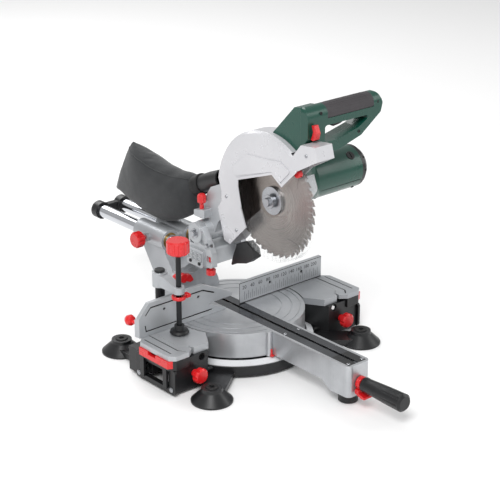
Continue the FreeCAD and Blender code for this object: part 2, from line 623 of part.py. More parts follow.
def rail_bracket():
    """The carriage: a foot on the front ends of the rails and two ears for the chop pin."""
    foot_z = RAIL_Z - RAIL_R - 4
    front = FENCE_T + 1
    ear_plan = [(front, 112), (front, 86), (66, foot_z), (76, foot_z), (76, 118), (CHOP_Y + 22, CHOP_Z),
                (CHOP_Y + 15, CHOP_Z + 15), (CHOP_Y, CHOP_Z + 22), (CHOP_Y - 15, CHOP_Z + 15), (24, CHOP_Z - 6)]
    left = slab(ear_plan, "yz", EAR_LEFT, EAR_LEFT + EAR_T, 4)
    right = slab(ear_plan, "yz", EAR_RIGHT - EAR_T, EAR_RIGHT, 4)
    foot = slab([(30, foot_z), (76, foot_z), (76, RAIL_Z + RAIL_R + 4), (30, RAIL_Z + RAIL_R + 4)],
                "yz", EAR_LEFT - 5, EAR_RIGHT, 4)
    toe = slab([(front, 88), (34, foot_z), (34, 108), (front, 112)], "yz", EAR_LEFT, EAR_RIGHT)
    pockets = []
    for y, z, w, h in ((10, 96, 14, 12), (30, 126, 12, 10), (62, 122, 10, 14)):
        pockets.append(block(EAR_LEFT - 6, EAR_LEFT + 4, y, y + w, z, z + h))
    slot = block(EAR_LEFT + EAR_T, EAR_RIGHT - EAR_T, 0, 30, 60, 130)
    carriage = joined(left, right, foot, toe.cut(slot))
    boss = rod("yz", CHOP_Y, CHOP_Z, EAR_LEFT - 3, EAR_LEFT + 1, 19)
    carriage = joined(carriage.cut(Part.makeCompound(pockets)), boss)
    bores = [rod("xz", x, RAIL_Z, RAIL_FRONT, 80, RAIL_R) for x in rail_places()]
    bores.append(rod("yz", CHOP_Y, CHOP_Z, EAR_LEFT - 4, EAR_RIGHT + 1, CHOP_PIN_R))
    bores.append(rod("xy", LOCK_PIN_X, LOCK_PIN_Y, 60, 130, 4 + RUN))
    return carriage.cut(Part.makeCompound(bores))


def chop_pin():
    """The pin that the head swings on."""
    return rod("yz", CHOP_Y, CHOP_Z, EAR_LEFT - 3, EAR_RIGHT, CHOP_PIN_R)


def head_lock_pin():
    """The plunger that locks the head down for carrying."""
    cap = rod("xy", LOCK_PIN_X, LOCK_PIN_Y, LOCK_PIN_LOW, LOCK_PIN_LOW + 10, 9)
    return joined(cap, rod("xy", LOCK_PIN_X, LOCK_PIN_Y, LOCK_PIN_LOW + 9, 118, 4))


# ---------------------------------------------------------------- chopping head

def head_arm():
    """The head casting: the pivot barrel, the arm and the gear case beside the blade."""
    inner_left, inner_right = EAR_LEFT + EAR_T + GAP, EAR_RIGHT - EAR_T - GAP
    barrel = rod("yz", CHOP_Y, CHOP_Z, inner_left, inner_right, 21)
    arm = slab([(40, 130), (70, 160), (62, 206), (44, 232), (14, 246), (0, 236), (-2, 196), (24, 168)],
               "yz", GUARD_LEFT + 1, GUARD_RIGHT + 8, 5)
    stop = slab([(44, 172), (74, 172), (74, 184), (44, 190)], "yz", STOP_X - 8, GUARD_LEFT + 4, 2)
    plate = slab([(24, 190), (30, 228), (10, 262), (-90, 322), (-160, 312), (-176, 270), (-130, 206),
                  (-100, 205), (-40, 222)], "yz", GUARD_RIGHT + 0.5, MOTOR_X - 1, 12)
    drum = rod("yz", BLADE_Y, BLADE_Z, GUARD_RIGHT + 0.5, MOTOR_X - 1, WHEEL_ROOM + 4)
    guard = slab(guard_plan(), "yz", GUARD_LEFT, GUARD_RIGHT)
    case = joined(barrel, arm.cut(guard), stop, plate, drum)
    spouts = spout_bodies(SPOUT_R)
    cuts = [rod("yz", CHOP_Y, CHOP_Z, inner_left - 1, inner_right + 1, CHOP_PIN_R + RUN),
            rod("yz", BLADE_Y, BLADE_Z, GUARD_RIGHT + 8, MOTOR_X - 4, WHEEL_ROOM),
            rod("yz", MOTOR_Y, MOTOR_Z, GUARD_RIGHT + 4, MOTOR_X - 4, 14),
            rod("yz", MOTOR_Y, MOTOR_Z, MOTOR_X - 5, MOTOR_X, 8),
            rod("yz", BLADE_Y, BLADE_Z, GUARD_RIGHT - 1, GUARD_RIGHT + 9, ARBOR_R + 6),
            rod("yz", BLADE_Y, BLADE_Z, -LOWER_W - 2, LOWER_W + 2, SWEEP_R),
            rod("xy", STOP_X, STOP_Y, 165, 200, 4 + RUN), spouts]
    for cut in cuts:
        case = case.cut(cut)
    return case


def guard_plan():
    """The C of the upper guard seen from the side, as y and z."""
    arch = [(BLADE_Y + GUARD_R * math.cos(t), BLADE_Z + GUARD_R * math.sin(t))
            for t in (math.radians(a) for a in range(125, 5, -6))]
    nose = [(-243, 352), (-236, 376), (-200, 372)]
    rear = [(12, 232), (13, 212), (23, 198), (5, 139), (-11, 135), (-56, 180)]
    inner = [(-42, 214), (-33, 254), (-33, 268), (-128, 302), (-153, 286), (-190, 322)]
    return nose + arch + rear + inner


def upper_guard():
    """The painted upper guard: an arched shell over the blade with a long rear leg."""
    shell = slab(guard_plan(), "yz", GUARD_LEFT, GUARD_RIGHT)
    room = slab([(-230, 350), (-226, 364), (-195, 358)]
                + [(BLADE_Y + (GUARD_R - 4) * math.cos(t), BLADE_Z + (GUARD_R - 4) * math.sin(t))
                   for t in (math.radians(a) for a in range(121, 10, -6))]
                + [(9, 232), (9.5, 214), (18, 200), (0, 144), (-30, 120), (-120, 140), (-260, 280)],
                "yz", GUARD_LEFT + GUARD_WALL, GUARD_RIGHT - GUARD_WALL)
    panel = slab([(-20, 288), (-30, 274), (-128, 306), (-150, 292), (-176, 318), (-150, 330), (-118, 326),
                  (-60, 322)], "yz", GUARD_LEFT - 2, GUARD_LEFT + 1, 5)
    window = rod("yz", BLADE_Y, BLADE_Z, GUARD_RIGHT - GUARD_WALL - 1, GUARD_RIGHT + 1, 40)
    bevel_end = GUARD_LEFT + GUARD_BEVEL
    bevel = sector("yz", BLADE_Y, BLADE_Z, GUARD_LEFT - 1, bevel_end, GUARD_R + 9, 5, 125).cut(
        turned("yz", BLADE_Y, BLADE_Z, [(GUARD_LEFT - 1, GUARD_R - GUARD_BEVEL - 1), (bevel_end, GUARD_R)]))
    return joined(shell.cut(room).cut(window).cut(bevel), panel)


def lower_guard():
    """The clear moving guard: two side plates and a rim round the front and bottom of the blade."""
    outer = sector("yz", BLADE_Y, BLADE_Z, -LOWER_W, LOWER_W, LOWER_R, LOWER_START, LOWER_END)
    room = rod("yz", BLADE_Y, BLADE_Z, -LOWER_W + LOWER_T, LOWER_W - LOWER_T, LOWER_R - 2)
    bore = rod("yz", BLADE_Y, BLADE_Z, -LOWER_W - 1, 0, LOWER_HUB_R)
    hub = rod("yz", BLADE_Y, BLADE_Z, LOWER_W - LOWER_T, LOWER_W, LOWER_HUB_R + 8)
    hole = rod("yz", BLADE_Y, BLADE_Z, 0, LOWER_W + 1, ARBOR_R + 16 + RUN)
    return joined(outer.cut(room).cut(bore), hub).cut(hole)


def guard_roller():
    """The roller at the nose of the moving guard, on its pin."""
    turn = math.radians(LOWER_START + 9)
    reach = LOWER_R - 6
    y, z = BLADE_Y + reach * math.cos(turn), BLADE_Z + reach * math.sin(turn)
    return joined(rod("yz", y, z, -LOWER_W - 8, -LOWER_W, 7), rod("yz", y, z, -LOWER_W - 1, -LOWER_W, 3))


def blade():
    """The saw blade: a toothed disc on its bore."""
    points = []
    for i in range(TEETH):
        for part, radius in ((0.0, BLADE_R), (0.10, BLADE_R - 1.0), (0.62, BLADE_R - 3.2),
                             (0.80, BLADE_R - 8.0), (0.96, BLADE_R - 5.0)):
            turn = -2 * math.pi * (i + part) / TEETH
            points.append((BLADE_Y + radius * math.cos(turn), BLADE_Z + radius * math.sin(turn)))
    disc = slab(points, "yz", -BLADE_T / 2, BLADE_T / 2)
    slots = []
    for i in range(4):
        turn = math.pi / 4 + i * math.pi / 2
        y, z = BLADE_Y + 96 * math.cos(turn), BLADE_Z + 96 * math.sin(turn)
        slots.append(rod("yz", y, z, -BLADE_T, BLADE_T, 2))
    return disc.cut(rod("yz", BLADE_Y, BLADE_Z, -BLADE_T, BLADE_T, BORE_R)).cut(Part.makeCompound(slots))


def gear_wheel(y, z, teeth, module, low, high, bore, phase=0.0):
    """A spur gear with straight-sided teeth."""
    root, tip = module * (teeth / 2 - 1.2), module * (teeth / 2 + 0.85)
    points = []
    for i in range(teeth):
        for part, radius in ((-0.36, root), (-0.11, tip), (0.11, tip), (0.36, root)):
            turn = phase + 2 * math.pi * (i + part * 0.9) / teeth
            points.append((y + radius * math.cos(turn), z + radius * math.sin(turn)))
    wheel = slab(points, "yz", low, high)
    return wheel.cut(rod("yz", y, z, low - 1, high + 1, bore))


def mesh_line():
    """Distance and direction from the blade's axis to the motor's."""
    dy, dz = MOTOR_Y - BLADE_Y, MOTOR_Z - BLADE_Z
    return math.hypot(dy, dz), math.atan2(dz, dy)


def drive_gear():
    """The wheel on the arbor, which the motor's pinion drives."""
    distance, turn = mesh_line()
    module = 2 * distance / (WHEEL_TEETH + PINION_TEETH)
    return gear_wheel(BLADE_Y, BLADE_Z, WHEEL_TEETH, module, 26, 36, ARBOR_R, turn)


def armature():
    """The motor's rotor: shaft, pinion, core, fan and commutator."""
    distance, turn = mesh_line()
    module = 2 * distance / (WHEEL_TEETH + PINION_TEETH)
    pinion = gear_wheel(MOTOR_Y, MOTOR_Z, PINION_TEETH, module, 25.5, 36.5, 2.0,
                        turn + math.pi + math.pi / PINION_TEETH)
    shaft = rod("yz", MOTOR_Y, MOTOR_Z, 22, 166, 3.0)
    collar = rod("yz", MOTOR_Y, MOTOR_Z, 36.5, 166, 4.5)
    core = rod("yz", MOTOR_Y, MOTOR_Z, 74, 126, 21)
    commutator = rod("yz", MOTOR_Y, MOTOR_Z, 132, 150, 12)
    fan = rod("yz", MOTOR_Y, MOTOR_Z, 56, 58, 33)
    vanes = []
    for i in range(12):
        vane = block(58, 66, MOTOR_Y + 14, MOTOR_Y + 33, MOTOR_Z - 0.8, MOTOR_Z + 0.8)
        vane.rotate(V(0, MOTOR_Y, MOTOR_Z), V(1, 0, 0), 30 * i)
        vanes.append(vane)
    return joined(pinion, shaft, collar, core, commutator, fan, *vanes)


def stator():
    """The field ring that stands round the rotor."""
    return pipe("yz", MOTOR_Y, MOTOR_Z, 72, 128, MOTOR_R - MOTOR_WALL, 22)


def arbor():
    """The blade's spindle."""
    return rod("yz", BLADE_Y, BLADE_Z, -12, MOTOR_X - 4.5, ARBOR_R)


def blade_flanges():
    """The two flanges that grip the blade; the inner one carries its bore."""
    half = BLADE_T / 2
    outer = pipe("yz", BLADE_Y, BLADE_Z, -half - FLANGE_T, -half, FLANGE_R, ARBOR_R)
    inner = pipe("yz", BLADE_Y, BLADE_Z, half, half + FLANGE_T, FLANGE_R - 1, ARBOR_R)
    spigot = pipe("yz", BLADE_Y, BLADE_Z, -half, half, BORE_R, ARBOR_R)
    return Part.makeCompound([outer, joined(inner, spigot)])


def arbor_bolt():
    """The bolt that holds the blade on its spindle."""
    hexagon = [(BLADE_Y + 8 * math.cos(t), BLADE_Z + 8 * math.sin(t))
               for t in (math.pi * i / 3 for i in range(6))]
    washer = rod("yz", BLADE_Y, BLADE_Z, -14, -12, 13)
    return joined(washer, slab(hexagon, "yz", -20, -14))


def bearings():
    """The ball bearings of the arbor and the rotor, as closed rings."""
    return Part.makeCompound([
        pipe("yz", BLADE_Y, BLADE_Z, GUARD_RIGHT + 1, GUARD_RIGHT + 9, ARBOR_R + 6, ARBOR_R),
        pipe("yz", MOTOR_Y, MOTOR_Z, 158, 166, 11, 4.5)])


def motor_housing():
    """The motor's shell, closed at the gear case and open at its cap."""
    shell = turned("yz", MOTOR_Y, MOTOR_Z, [(MOTOR_X, MOTOR_R - 2), (MOTOR_X + 8, MOTOR_R),
                                            (MOTOR_CAP_X, MOTOR_R - 0.5)])
    room = turned("yz", MOTOR_Y, MOTOR_Z, [(MOTOR_X + 6, MOTOR_R - MOTOR_WALL),
                                           (MOTOR_CAP_X + 1, MOTOR_R - MOTOR_WALL)])
    brush = rod("xy", 138, MOTOR_Y, MOTOR_Z + 12, MOTOR_Z + MOTOR_R + 5, BRUSH_R + GAP / 2)
    brush.rotate(V(0, MOTOR_Y, MOTOR_Z), V(1, 0, 0), 40)
    lower = brush.copy()
    lower.rotate(V(0, MOTOR_Y, MOTOR_Z), V(1, 0, 0), 180)
    shaft = rod("yz", MOTOR_Y, MOTOR_Z, MOTOR_X - 1, MOTOR_X + 8, 8)
    return shell.cut(Part.makeCompound([room, brush, lower, shaft]))


def brush_caps():
    """The two screwed caps over the brushes."""
    cap = rod("xy", 138, MOTOR_Y, MOTOR_Z + 26, MOTOR_Z + MOTOR_R + 0.5, BRUSH_R)
    slot = block(137, 139, MOTOR_Y - 6, MOTOR_Y + 6, MOTOR_Z + MOTOR_R - 1, MOTOR_Z + MOTOR_R + 1)
    cap = cap.cut(slot)
    cap.rotate(V(0, MOTOR_Y, MOTOR_Z), V(1, 0, 0), 40)
    lower = cap.copy()
    lower.rotate(V(0, MOTOR_Y, MOTOR_Z), V(1, 0, 0), 180)
    return Part.makeCompound([cap, lower])


def motor_cap():
    """The rounded, slotted cap at the end of the motor."""
    cap = turned("yz", MOTOR_Y, MOTOR_Z, [(MOTOR_CAP_X, MOTOR_R - 0.5), (MOTOR_CAP_X + 8, MOTOR_R - 1),
                                          (MOTOR_END - 6, MOTOR_R - 7), (MOTOR_END, MOTOR_R - 14)])
    room = turned("yz", MOTOR_Y, MOTOR_Z, [(MOTOR_CAP_X - 1, MOTOR_R - 4), (MOTOR_CAP_X + 7, MOTOR_R - 4.5),
                                           (MOTOR_END - 7, MOTOR_R - 12)])
    seat = pipe("yz", MOTOR_Y, MOTOR_Z, MOTOR_CAP_X, MOTOR_END - 5, 15, 11)
    slots = []
    for i in range(10):
        slot = block(MOTOR_CAP_X + 5, MOTOR_CAP_X + 13, MOTOR_Y - 1.5, MOTOR_Y + 1.5, MOTOR_Z + 26,
                     MOTOR_Z + MOTOR_R + 2)
        slot.rotate(V(0, MOTOR_Y, MOTOR_Z), V(1, 0, 0), 36 * i + 18)
        slots.append(slot)
    return joined(cap.cut(room), seat).cut(Part.makeCompound(slots))


def handle_loop():
    """The whole D-handle: a cheek on the guard, the grip across and the strut back."""
    loop = slab([(-11, 352), (60, 346), (118, 362), (166, 396), (170, 412), (162, GRIP_TOP), (-11, GRIP_TOP)],
                "xz", GRIP_Y - HANDLE_R, GRIP_Y + HANDLE_R, 8)
    window = slab([(30, 396), (146, 396), (112, 378), (60, 366), (30, 366)], "xz",
                  GRIP_Y - HANDLE_R - 1, GRIP_Y + HANDLE_R + 1, 5)
    cheek = slab([(-112, 371), (-168, 430), (-184, GRIP_TOP), (-190, 360), (-170, 350), (-130, 352)],
                 "yz", -11, 26, 3)
    crown = rod("yz", GRIP_Y, GRIP_TOP - HANDLE_R, -12, 171, HANDLE_R)
    low_half = block(-12, 171, GRIP_Y - HANDLE_R - 1, GRIP_Y + HANDLE_R + 1, 340, GRIP_TOP - HANDLE_R)
    loop = loop.cut(window)
    loop = joined(loop.common(joined(crown, low_half)), cheek)
    motor = rod("yz", MOTOR_Y, MOTOR_Z, -20, MOTOR_END + 10, MOTOR_R + 6)
    guard = slab([(-260, 330), (-260, 380), (-236, 380), (-200, 378)]
                 + [(BLADE_Y + (GUARD_R + 0.2) * math.cos(t), BLADE_Z + (GUARD_R + 0.2) * math.sin(t))
                    for t in (math.radians(a) for a in range(125, 60, -6))] + [(-60, 300)],
                 "yz", -30, GUARD_RIGHT + 0.2)
    post = block(GUARD_RIGHT + 2, MOTOR_X - 4, GRIP_Y + 12, GRIP_Y + 60, 300, 356)
    loop = joined(loop, post)
    plate = head_arm()
    return loop.cut(motor).cut(guard).cut(plate)


def trigger_room():
    """The slot in the grip that the trigger sits in."""
    return block(58, 96, GRIP_Y - 6, GRIP_Y + 6, 390, 416)


def handle_shells():
    """The two halves of the D-handle, front and back."""
    loop = handle_loop().cut(trigger_room())
    wide = 400
    front = loop.common(block(-wide, wide, -wide, GRIP_Y, 0, 2 * wide))
    back = loop.common(block(-wide, wide, GRIP_Y, wide, 0, 2 * wide))
    sleeve = rod("yz", GRIP_Y, GRIP_TOP - HANDLE_R, 36, 148, HANDLE_R - 2.5)
    shell = rod("yz", GRIP_Y, GRIP_TOP - HANDLE_R, 36, 148, HANDLE_R + 3).cut(sleeve)
    above = block(36, 148, GRIP_Y - 40, GRIP_Y + 40, GRIP_TOP - HANDLE_R - 6, GRIP_TOP + 10)
    waist = shell.common(above)
    halves = []
    for half in (front, back):
        cut = half.cut(waist)
        halves.append(max(cut.Solids, key=lambda s: s.Volume))
    return Part.makeCompound(halves)


def grip_cover():
    """The soft cover over the top of the grip."""
    z = GRIP_TOP - HANDLE_R
    cover = pipe("yz", GRIP_Y, z, 36, 148, HANDLE_R, HANDLE_R - 2.5)
    above = block(36, 148, GRIP_Y - 40, GRIP_Y + 40, z - 6, z + 40)
    return cover.common(above)


def trigger():
    """The switch trigger under the grip."""
    return slab([(60, 400), (60, 386), (78, 388), (94, 394), (94, 400)], "xz", GRIP_Y - 5, GRIP_Y + 5, 2)


def lockoff_lever():
    """The lever in front of the handle that frees the moving guard."""
    return slab([(-208, 377), (-214, 380), (-217, 392), (-211, 405), (-204, 404), (-208, 393),
                 (-205, 384), (-202, 378)], "yz", -4, 5, 1)


def dust_chute():
    """The deflector that catches chips behind the blade, open towards it."""
    chute = slab([(-16, 134), (-14, 126), (-5, 104), (0, 85), (-14, 94), (-44, 103), (-65, 119), (-56, 150)],
                 "yz", -13, 5, 2)
    room = slab([(-20, 130), (-12, 104), (-42, 111), (-56, 121), (-50, 160), (-20, 160)], "yz", -10, 2)
    guard = slab(guard_plan(), "yz", GUARD_LEFT - 1, GUARD_RIGHT + 1)
    sweep = rod("yz", BLADE_Y, BLADE_Z, -20, 20, SWEEP_R)
    chute = chute.cut(room).cut(guard).cut(sweep)
    return max(chute.Solids, key=lambda s: s.Volume)


def spout_path():
    """The line of the dust spout, from the guard to the bag."""
    return [V(-6, 32, 248), V(-6, 62, 236), V(-6, 104, 215)]


def spout_bodies(radius):
    """The spout's two straight lengths and its bend, as one solid of a radius."""
    path = spout_path()
    pieces = [Part.makeCylinder(radius, (end - start).Length, start, end - start)
              for start, end in zip(path, path[1:])]
    return joined(Part.makeSphere(radius, path[1]), *pieces)


def dust_spout():
    """The spout that carries dust from the guard to the bag."""
    return spout_bodies(SPOUT_R).cut(spout_bodies(SPOUT_BORE))


def dust_bag():
    """The dust bag as a plain closed solid of its full size."""
    side = [(110, 234), (96, 204), (112, 168), (182, 126), (250, 122), (362, 132), (368, 146), (322, 240),
            (306, 256), (292, 250), (220, 232), (150, 232)]
    return slab(side, "yz", -40, 28, 8).cut(spout_bodies(SPOUT_R))


def depth_stop():
    """The depth stop screw with its small knob."""
    head = knob("xy", STOP_X, STOP_Y, 198, 216, 8.5, 8, 1.2)
    return joined(head, rod("xy", STOP_X, STOP_Y, 169, 199, 4))


# ---------------------------------------------------------------- clamp

def clamp_post():
    """The post that plugs into the base behind the fence."""
    return rod("xy", -POST_X, POST_Y, BODY_TOP - SOCKET_DEPTH + 2, CLAMP_ARM_HIGH + 2, POST_R)


def clamp_arm():
    """The cast arm over the fence, from the post to the spindle."""
    post = rod("xy", -POST_X, POST_Y, CLAMP_ARM_LOW - 4, CLAMP_ARM_HIGH, POST_R + 5)
    boss = rod("xy", SPINDLE_X, SPINDLE_Y, CLAMP_ARM_LOW, CLAMP_ARM_LOW + 13, 10.5)
    web = slab([(POST_Y + 6, CLAMP_ARM_LOW - 2), (SPINDLE_Y, CLAMP_ARM_LOW), (SPINDLE_Y, CLAMP_ARM_LOW + 12),
                (POST_Y - 26, CLAMP_ARM_HIGH - 4), (POST_Y + 6, CLAMP_ARM_HIGH - 2)], "yz",
               SPINDLE_X - 8, SPINDLE_X + 9, 4)
    bores = [rod("xy", -POST_X, POST_Y, 0, 200, POST_R + RUN),
             rod("xy", SPINDLE_X, SPINDLE_Y, 0, 200, SPINDLE_R + RUN)]
    return joined(post, boss, web).cut(Part.makeCompound(bores))


def clamp_spindle():
    """The clamp's screw."""
    return rod("xy", SPINDLE_X, SPINDLE_Y, PAD_LOW + 4, KNOB_LOW + 10, SPINDLE_R)


def clamp_knob():
    """The clamp's knob, on the top of its screw."""
    head = knob("xy", SPINDLE_X, SPINDLE_Y, KNOB_LOW, KNOB_HIGH, KNOB_R, 12, 1.6)
    return head.cut(rod("xy", SPINDLE_X, SPINDLE_Y, KNOB_LOW - 1, KNOB_LOW + 10, SPINDLE_R))


def clamp_pad():
    """The round pad that presses on the work, free to turn on the screw's end."""
    z = PAD_LOW
    pad = turned("xy", SPINDLE_X, SPINDLE_Y, [(z, PAD_R - 2), (z + 2, PAD_R), (z + 6, PAD_R - 2),
                                              (z + 8, 10), (z + 16, 9)])
    return pad.cut(rod("xy", SPINDLE_X, SPINDLE_Y, PAD_LOW + 3.7, z + 20, SPINDLE_R + RUN))


# ---------------------------------------------------------------- build

def main():
    """Draw every piece and write it under its own name."""
    os.makedirs("parts", exist_ok=True)
    save("base_casting", base_casting())
    save("outrigger_feet", outrigger_feet())
    save("end_frames", end_frames())
    save("end_frame_screws", base_screws())
    plates = table_plates()
    socket = rod("xy", POST_X, POST_Y, -50, 20, POST_R + 6)
    save("table_plates", plates.cut(Part.makeCompound([socket, mirrored(socket)])))
    save("mitre_scale_ring", scale_ring())
    save("right_fence", right_fence())
    save("pivot_bolt", pivot_bolt())
    save("left_fence", left_fence())
    save("fence_knob", fence_knob())
    for side, turn in (("right", lambda s: s), ("left", mirrored)):
        save("extension_top_" + side, turn(ext_top()))
        save("extension_frame_" + side, turn(ext_frame()))
        save("extension_strip_" + side, turn(ext_strip()))
    for side, (x, z) in zip(("left", "right"), lock_knob_places()):
        save("lock_knob_" + side, lock_knob(x, z))
    save("turntable", turntable())
    save("insert_strips", insert_strips())
    save("mitre_grip", mitre_grip())
    save("detent_lever", detent_lever())
    save("arm_foot", arm_foot())
    save("tilt_arm", tilt_arm())
    save("rail_bushes", rail_bushes())
    save("bevel_lever", bevel_lever())
    save("slide_knob", slide_knob())
    save("rails", rails())
    save("rail_bridge", rail_bridge())
    save("rail_bracket", rail_bracket())
    save("chop_pin", chop_pin())
    save("head_lock_pin", head_lock_pin())
    save("head_arm", head_arm())
    save("upper_guard", upper_guard())
    save("lower_guard", lower_guard())
    save("guard_roller", guard_roller())
    save("blade", blade())
    save("drive_gear", drive_gear())
    save("armature", armature())
    save("stator", stator())
    save("arbor", arbor())
    save("blade_flanges", blade_flanges())
    save("arbor_bolt", arbor_bolt())
    save("bearings", bearings())
    save("motor_housing", motor_housing())
    save("brush_caps", brush_caps())
    save("motor_cap", motor_cap())
    save("handle_shells", handle_shells())
    save("grip_cover", grip_cover())
    save("trigger", trigger())
    save("lockoff_lever", lockoff_lever())
    save("dust_chute", dust_chute())
    save("dust_spout", dust_spout())
    save("dust_bag", dust_bag())
    save("depth_stop", depth_stop())
    save("clamp_post", clamp_post())
    save("clamp_arm", clamp_arm())
    save("clamp_spindle", clamp_spindle())
    save("clamp_knob", clamp_knob())
    save("clamp_pad", clamp_pad())


main()
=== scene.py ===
"""The looks of a sliding compound mitre saw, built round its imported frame.

Lengths are metres. The table's top and the fence's face are read from the frame.
"""

import json
import logging
import math
from dataclasses import dataclass
from enum import Enum

import bmesh
import bpy
from mathutils import Matrix, Vector, noise

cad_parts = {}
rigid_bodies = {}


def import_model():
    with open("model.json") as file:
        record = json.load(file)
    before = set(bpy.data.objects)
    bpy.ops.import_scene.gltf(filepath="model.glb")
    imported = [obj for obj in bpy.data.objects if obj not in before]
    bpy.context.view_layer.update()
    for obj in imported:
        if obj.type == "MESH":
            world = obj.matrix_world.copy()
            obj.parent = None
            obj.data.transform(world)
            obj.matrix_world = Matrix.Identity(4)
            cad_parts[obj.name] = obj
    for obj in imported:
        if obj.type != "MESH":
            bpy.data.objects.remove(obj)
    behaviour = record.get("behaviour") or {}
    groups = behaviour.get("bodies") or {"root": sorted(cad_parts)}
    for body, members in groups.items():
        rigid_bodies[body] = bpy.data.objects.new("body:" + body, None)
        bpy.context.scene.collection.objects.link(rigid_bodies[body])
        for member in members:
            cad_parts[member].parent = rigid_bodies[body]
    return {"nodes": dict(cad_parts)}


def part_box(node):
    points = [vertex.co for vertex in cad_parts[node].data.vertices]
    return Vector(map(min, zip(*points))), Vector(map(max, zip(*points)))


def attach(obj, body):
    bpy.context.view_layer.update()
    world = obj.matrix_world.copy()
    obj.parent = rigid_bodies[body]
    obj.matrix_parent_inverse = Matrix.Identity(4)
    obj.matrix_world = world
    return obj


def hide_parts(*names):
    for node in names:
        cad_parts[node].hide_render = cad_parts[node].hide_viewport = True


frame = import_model()

LOG = logging.getLogger("mitre_saw")
MM = 0.001
Colour = tuple[float, float, float]
Flat = tuple[float, float]
Shape = bmesh.types.BMesh
Mesh = bpy.types.Mesh
Socket = bpy.types.NodeSocket
UP = Vector((0, 0, 1))


def srgb(red: int, green: int, blue: int) -> Colour:
    """Turn a display colour into scene values.

    Args:
        red: red, 0 to 255.
        green: green, 0 to 255.
        blue: blue, 0 to 255.

    Returns:
        The linear colour.
    """
    parts = (value / 255 for value in (red, green, blue))
    return tuple(v / 12.92 if v < 0.04045 else ((v + 0.055) / 1.055) ** 2.4 for v in parts)


def table(x: float, y: float, z: float) -> Vector:
    """Place a point given in millimetres about the table's centre.

    Args:
        x: millimetres to the operator's right.
        y: millimetres behind the fence's face.
        z: millimetres above the table's top.

    Returns:
        The point in the frame, in metres.
    """
    return Vector((x * MM, FENCE_FACE + y * MM, TABLE_TOP + z * MM))


FENCE_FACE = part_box("right_fence")[0][1]
TABLE_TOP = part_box("table_plates")[1][2]


# ------------------------------------------------------------------ node trees


class Graph:
    """A small helper that adds and joins nodes in one tree."""

    def __init__(self, tree: bpy.types.NodeTree) -> None:
        """Keep the tree that nodes are added to."""
        self.tree = tree

    def add(self, kind: str, settings: dict | None = None, **inputs: object) -> bpy.types.Node:
        """Add a node, set its properties and feed its inputs.

        Args:
            kind: the node's type name.
            settings: property names and values.
            inputs: socket names, with spaces as underscores, to values or sockets.

        Returns:
            The new node.
        """
        node = self.tree.nodes.new(kind)
        for name, value in (settings or {}).items():
            setattr(node, name, value)
        for name, value in inputs.items():
            self.feed(node, name.replace("_", " "), value)
        return node

    def feed(self, node: bpy.types.Node, name: str, value: object) -> None:
        """Set or link one input of a node.

        Args:
            node: the node.
            name: the socket's name, or its number as text.
            value: a plain value, or the socket that feeds it.
        """
        socket = node.inputs[int(name)] if name.isdigit() else node.inputs[name]
        if isinstance(value, bpy.types.NodeSocket):
            self.tree.links.new(value, socket)
        else:
            socket.default_value = value

    def maths(self, operation: str, first: object, second: object = 0.0) -> Socket:
        """Add a Math node.

        Args:
            operation: the node's operation.
            first: first value or socket.
            second: second value or socket.

        Returns:
            The result's socket.
        """
        node = self.add("ShaderNodeMath", {"operation": operation})
        self.feed(node, "0", first)
        self.feed(node, "1", second)
        return node.outputs[0]

    def ramp(self, value: Socket, low: float, high: float) -> Socket:
        """Spread a value that runs from 0 to 1 between two others."""
        return self.add("ShaderNodeMapRange", To_Min=low, To_Max=high, Value=value).outputs[0]

    def relief(self, strength: float, depth: float, height: Socket, **normal: Socket) -> Socket:
        """Turn a height into a bumped normal."""
        return self.add("ShaderNodeBump", Strength=strength, Distance=depth, Height=height,
                        **normal).outputs[0]

    def surface(self, shader: bpy.types.Node, colour: Socket, rough: Socket, normal: Socket) -> None:
        """Join the three things that every finish has to its shader.

        Args:
            shader: the Principled shader.
            colour: the colour's socket.
            rough: the roughness's socket.
            normal: the normal's socket.
        """
        for name, value in (("Base Color", colour), ("Roughness", rough), ("Normal", normal)):
            self.feed(shader, name, value)

    def blend(self, share: object, low: object, high: object) -> Socket:
        """Mix two colours.

        Args:
            share: how much of the second colour.
            low: the first colour or socket.
            high: the second colour or socket.

        Returns:
            The mixed colour's socket.
        """
        node = self.add("ShaderNodeMix", {"data_type": "RGBA"})
        self.feed(node, "0", share)
        self.feed(node, "6", low)
        self.feed(node, "7", high)
        return node.outputs[2]


class Effect(Enum):
    """The effects that several finishes share."""

    GRAIN = "surface_grain"
    MOTTLE = "colour_mottle"
    EDGES = "worn_edges"
    WEAVE = "cloth_weave"
    TURNED = "turned_rings"


SOCKETS = {"number": "NodeSocketFloat", "colour": "NodeSocketColor", "vector": "NodeSocketVector"}


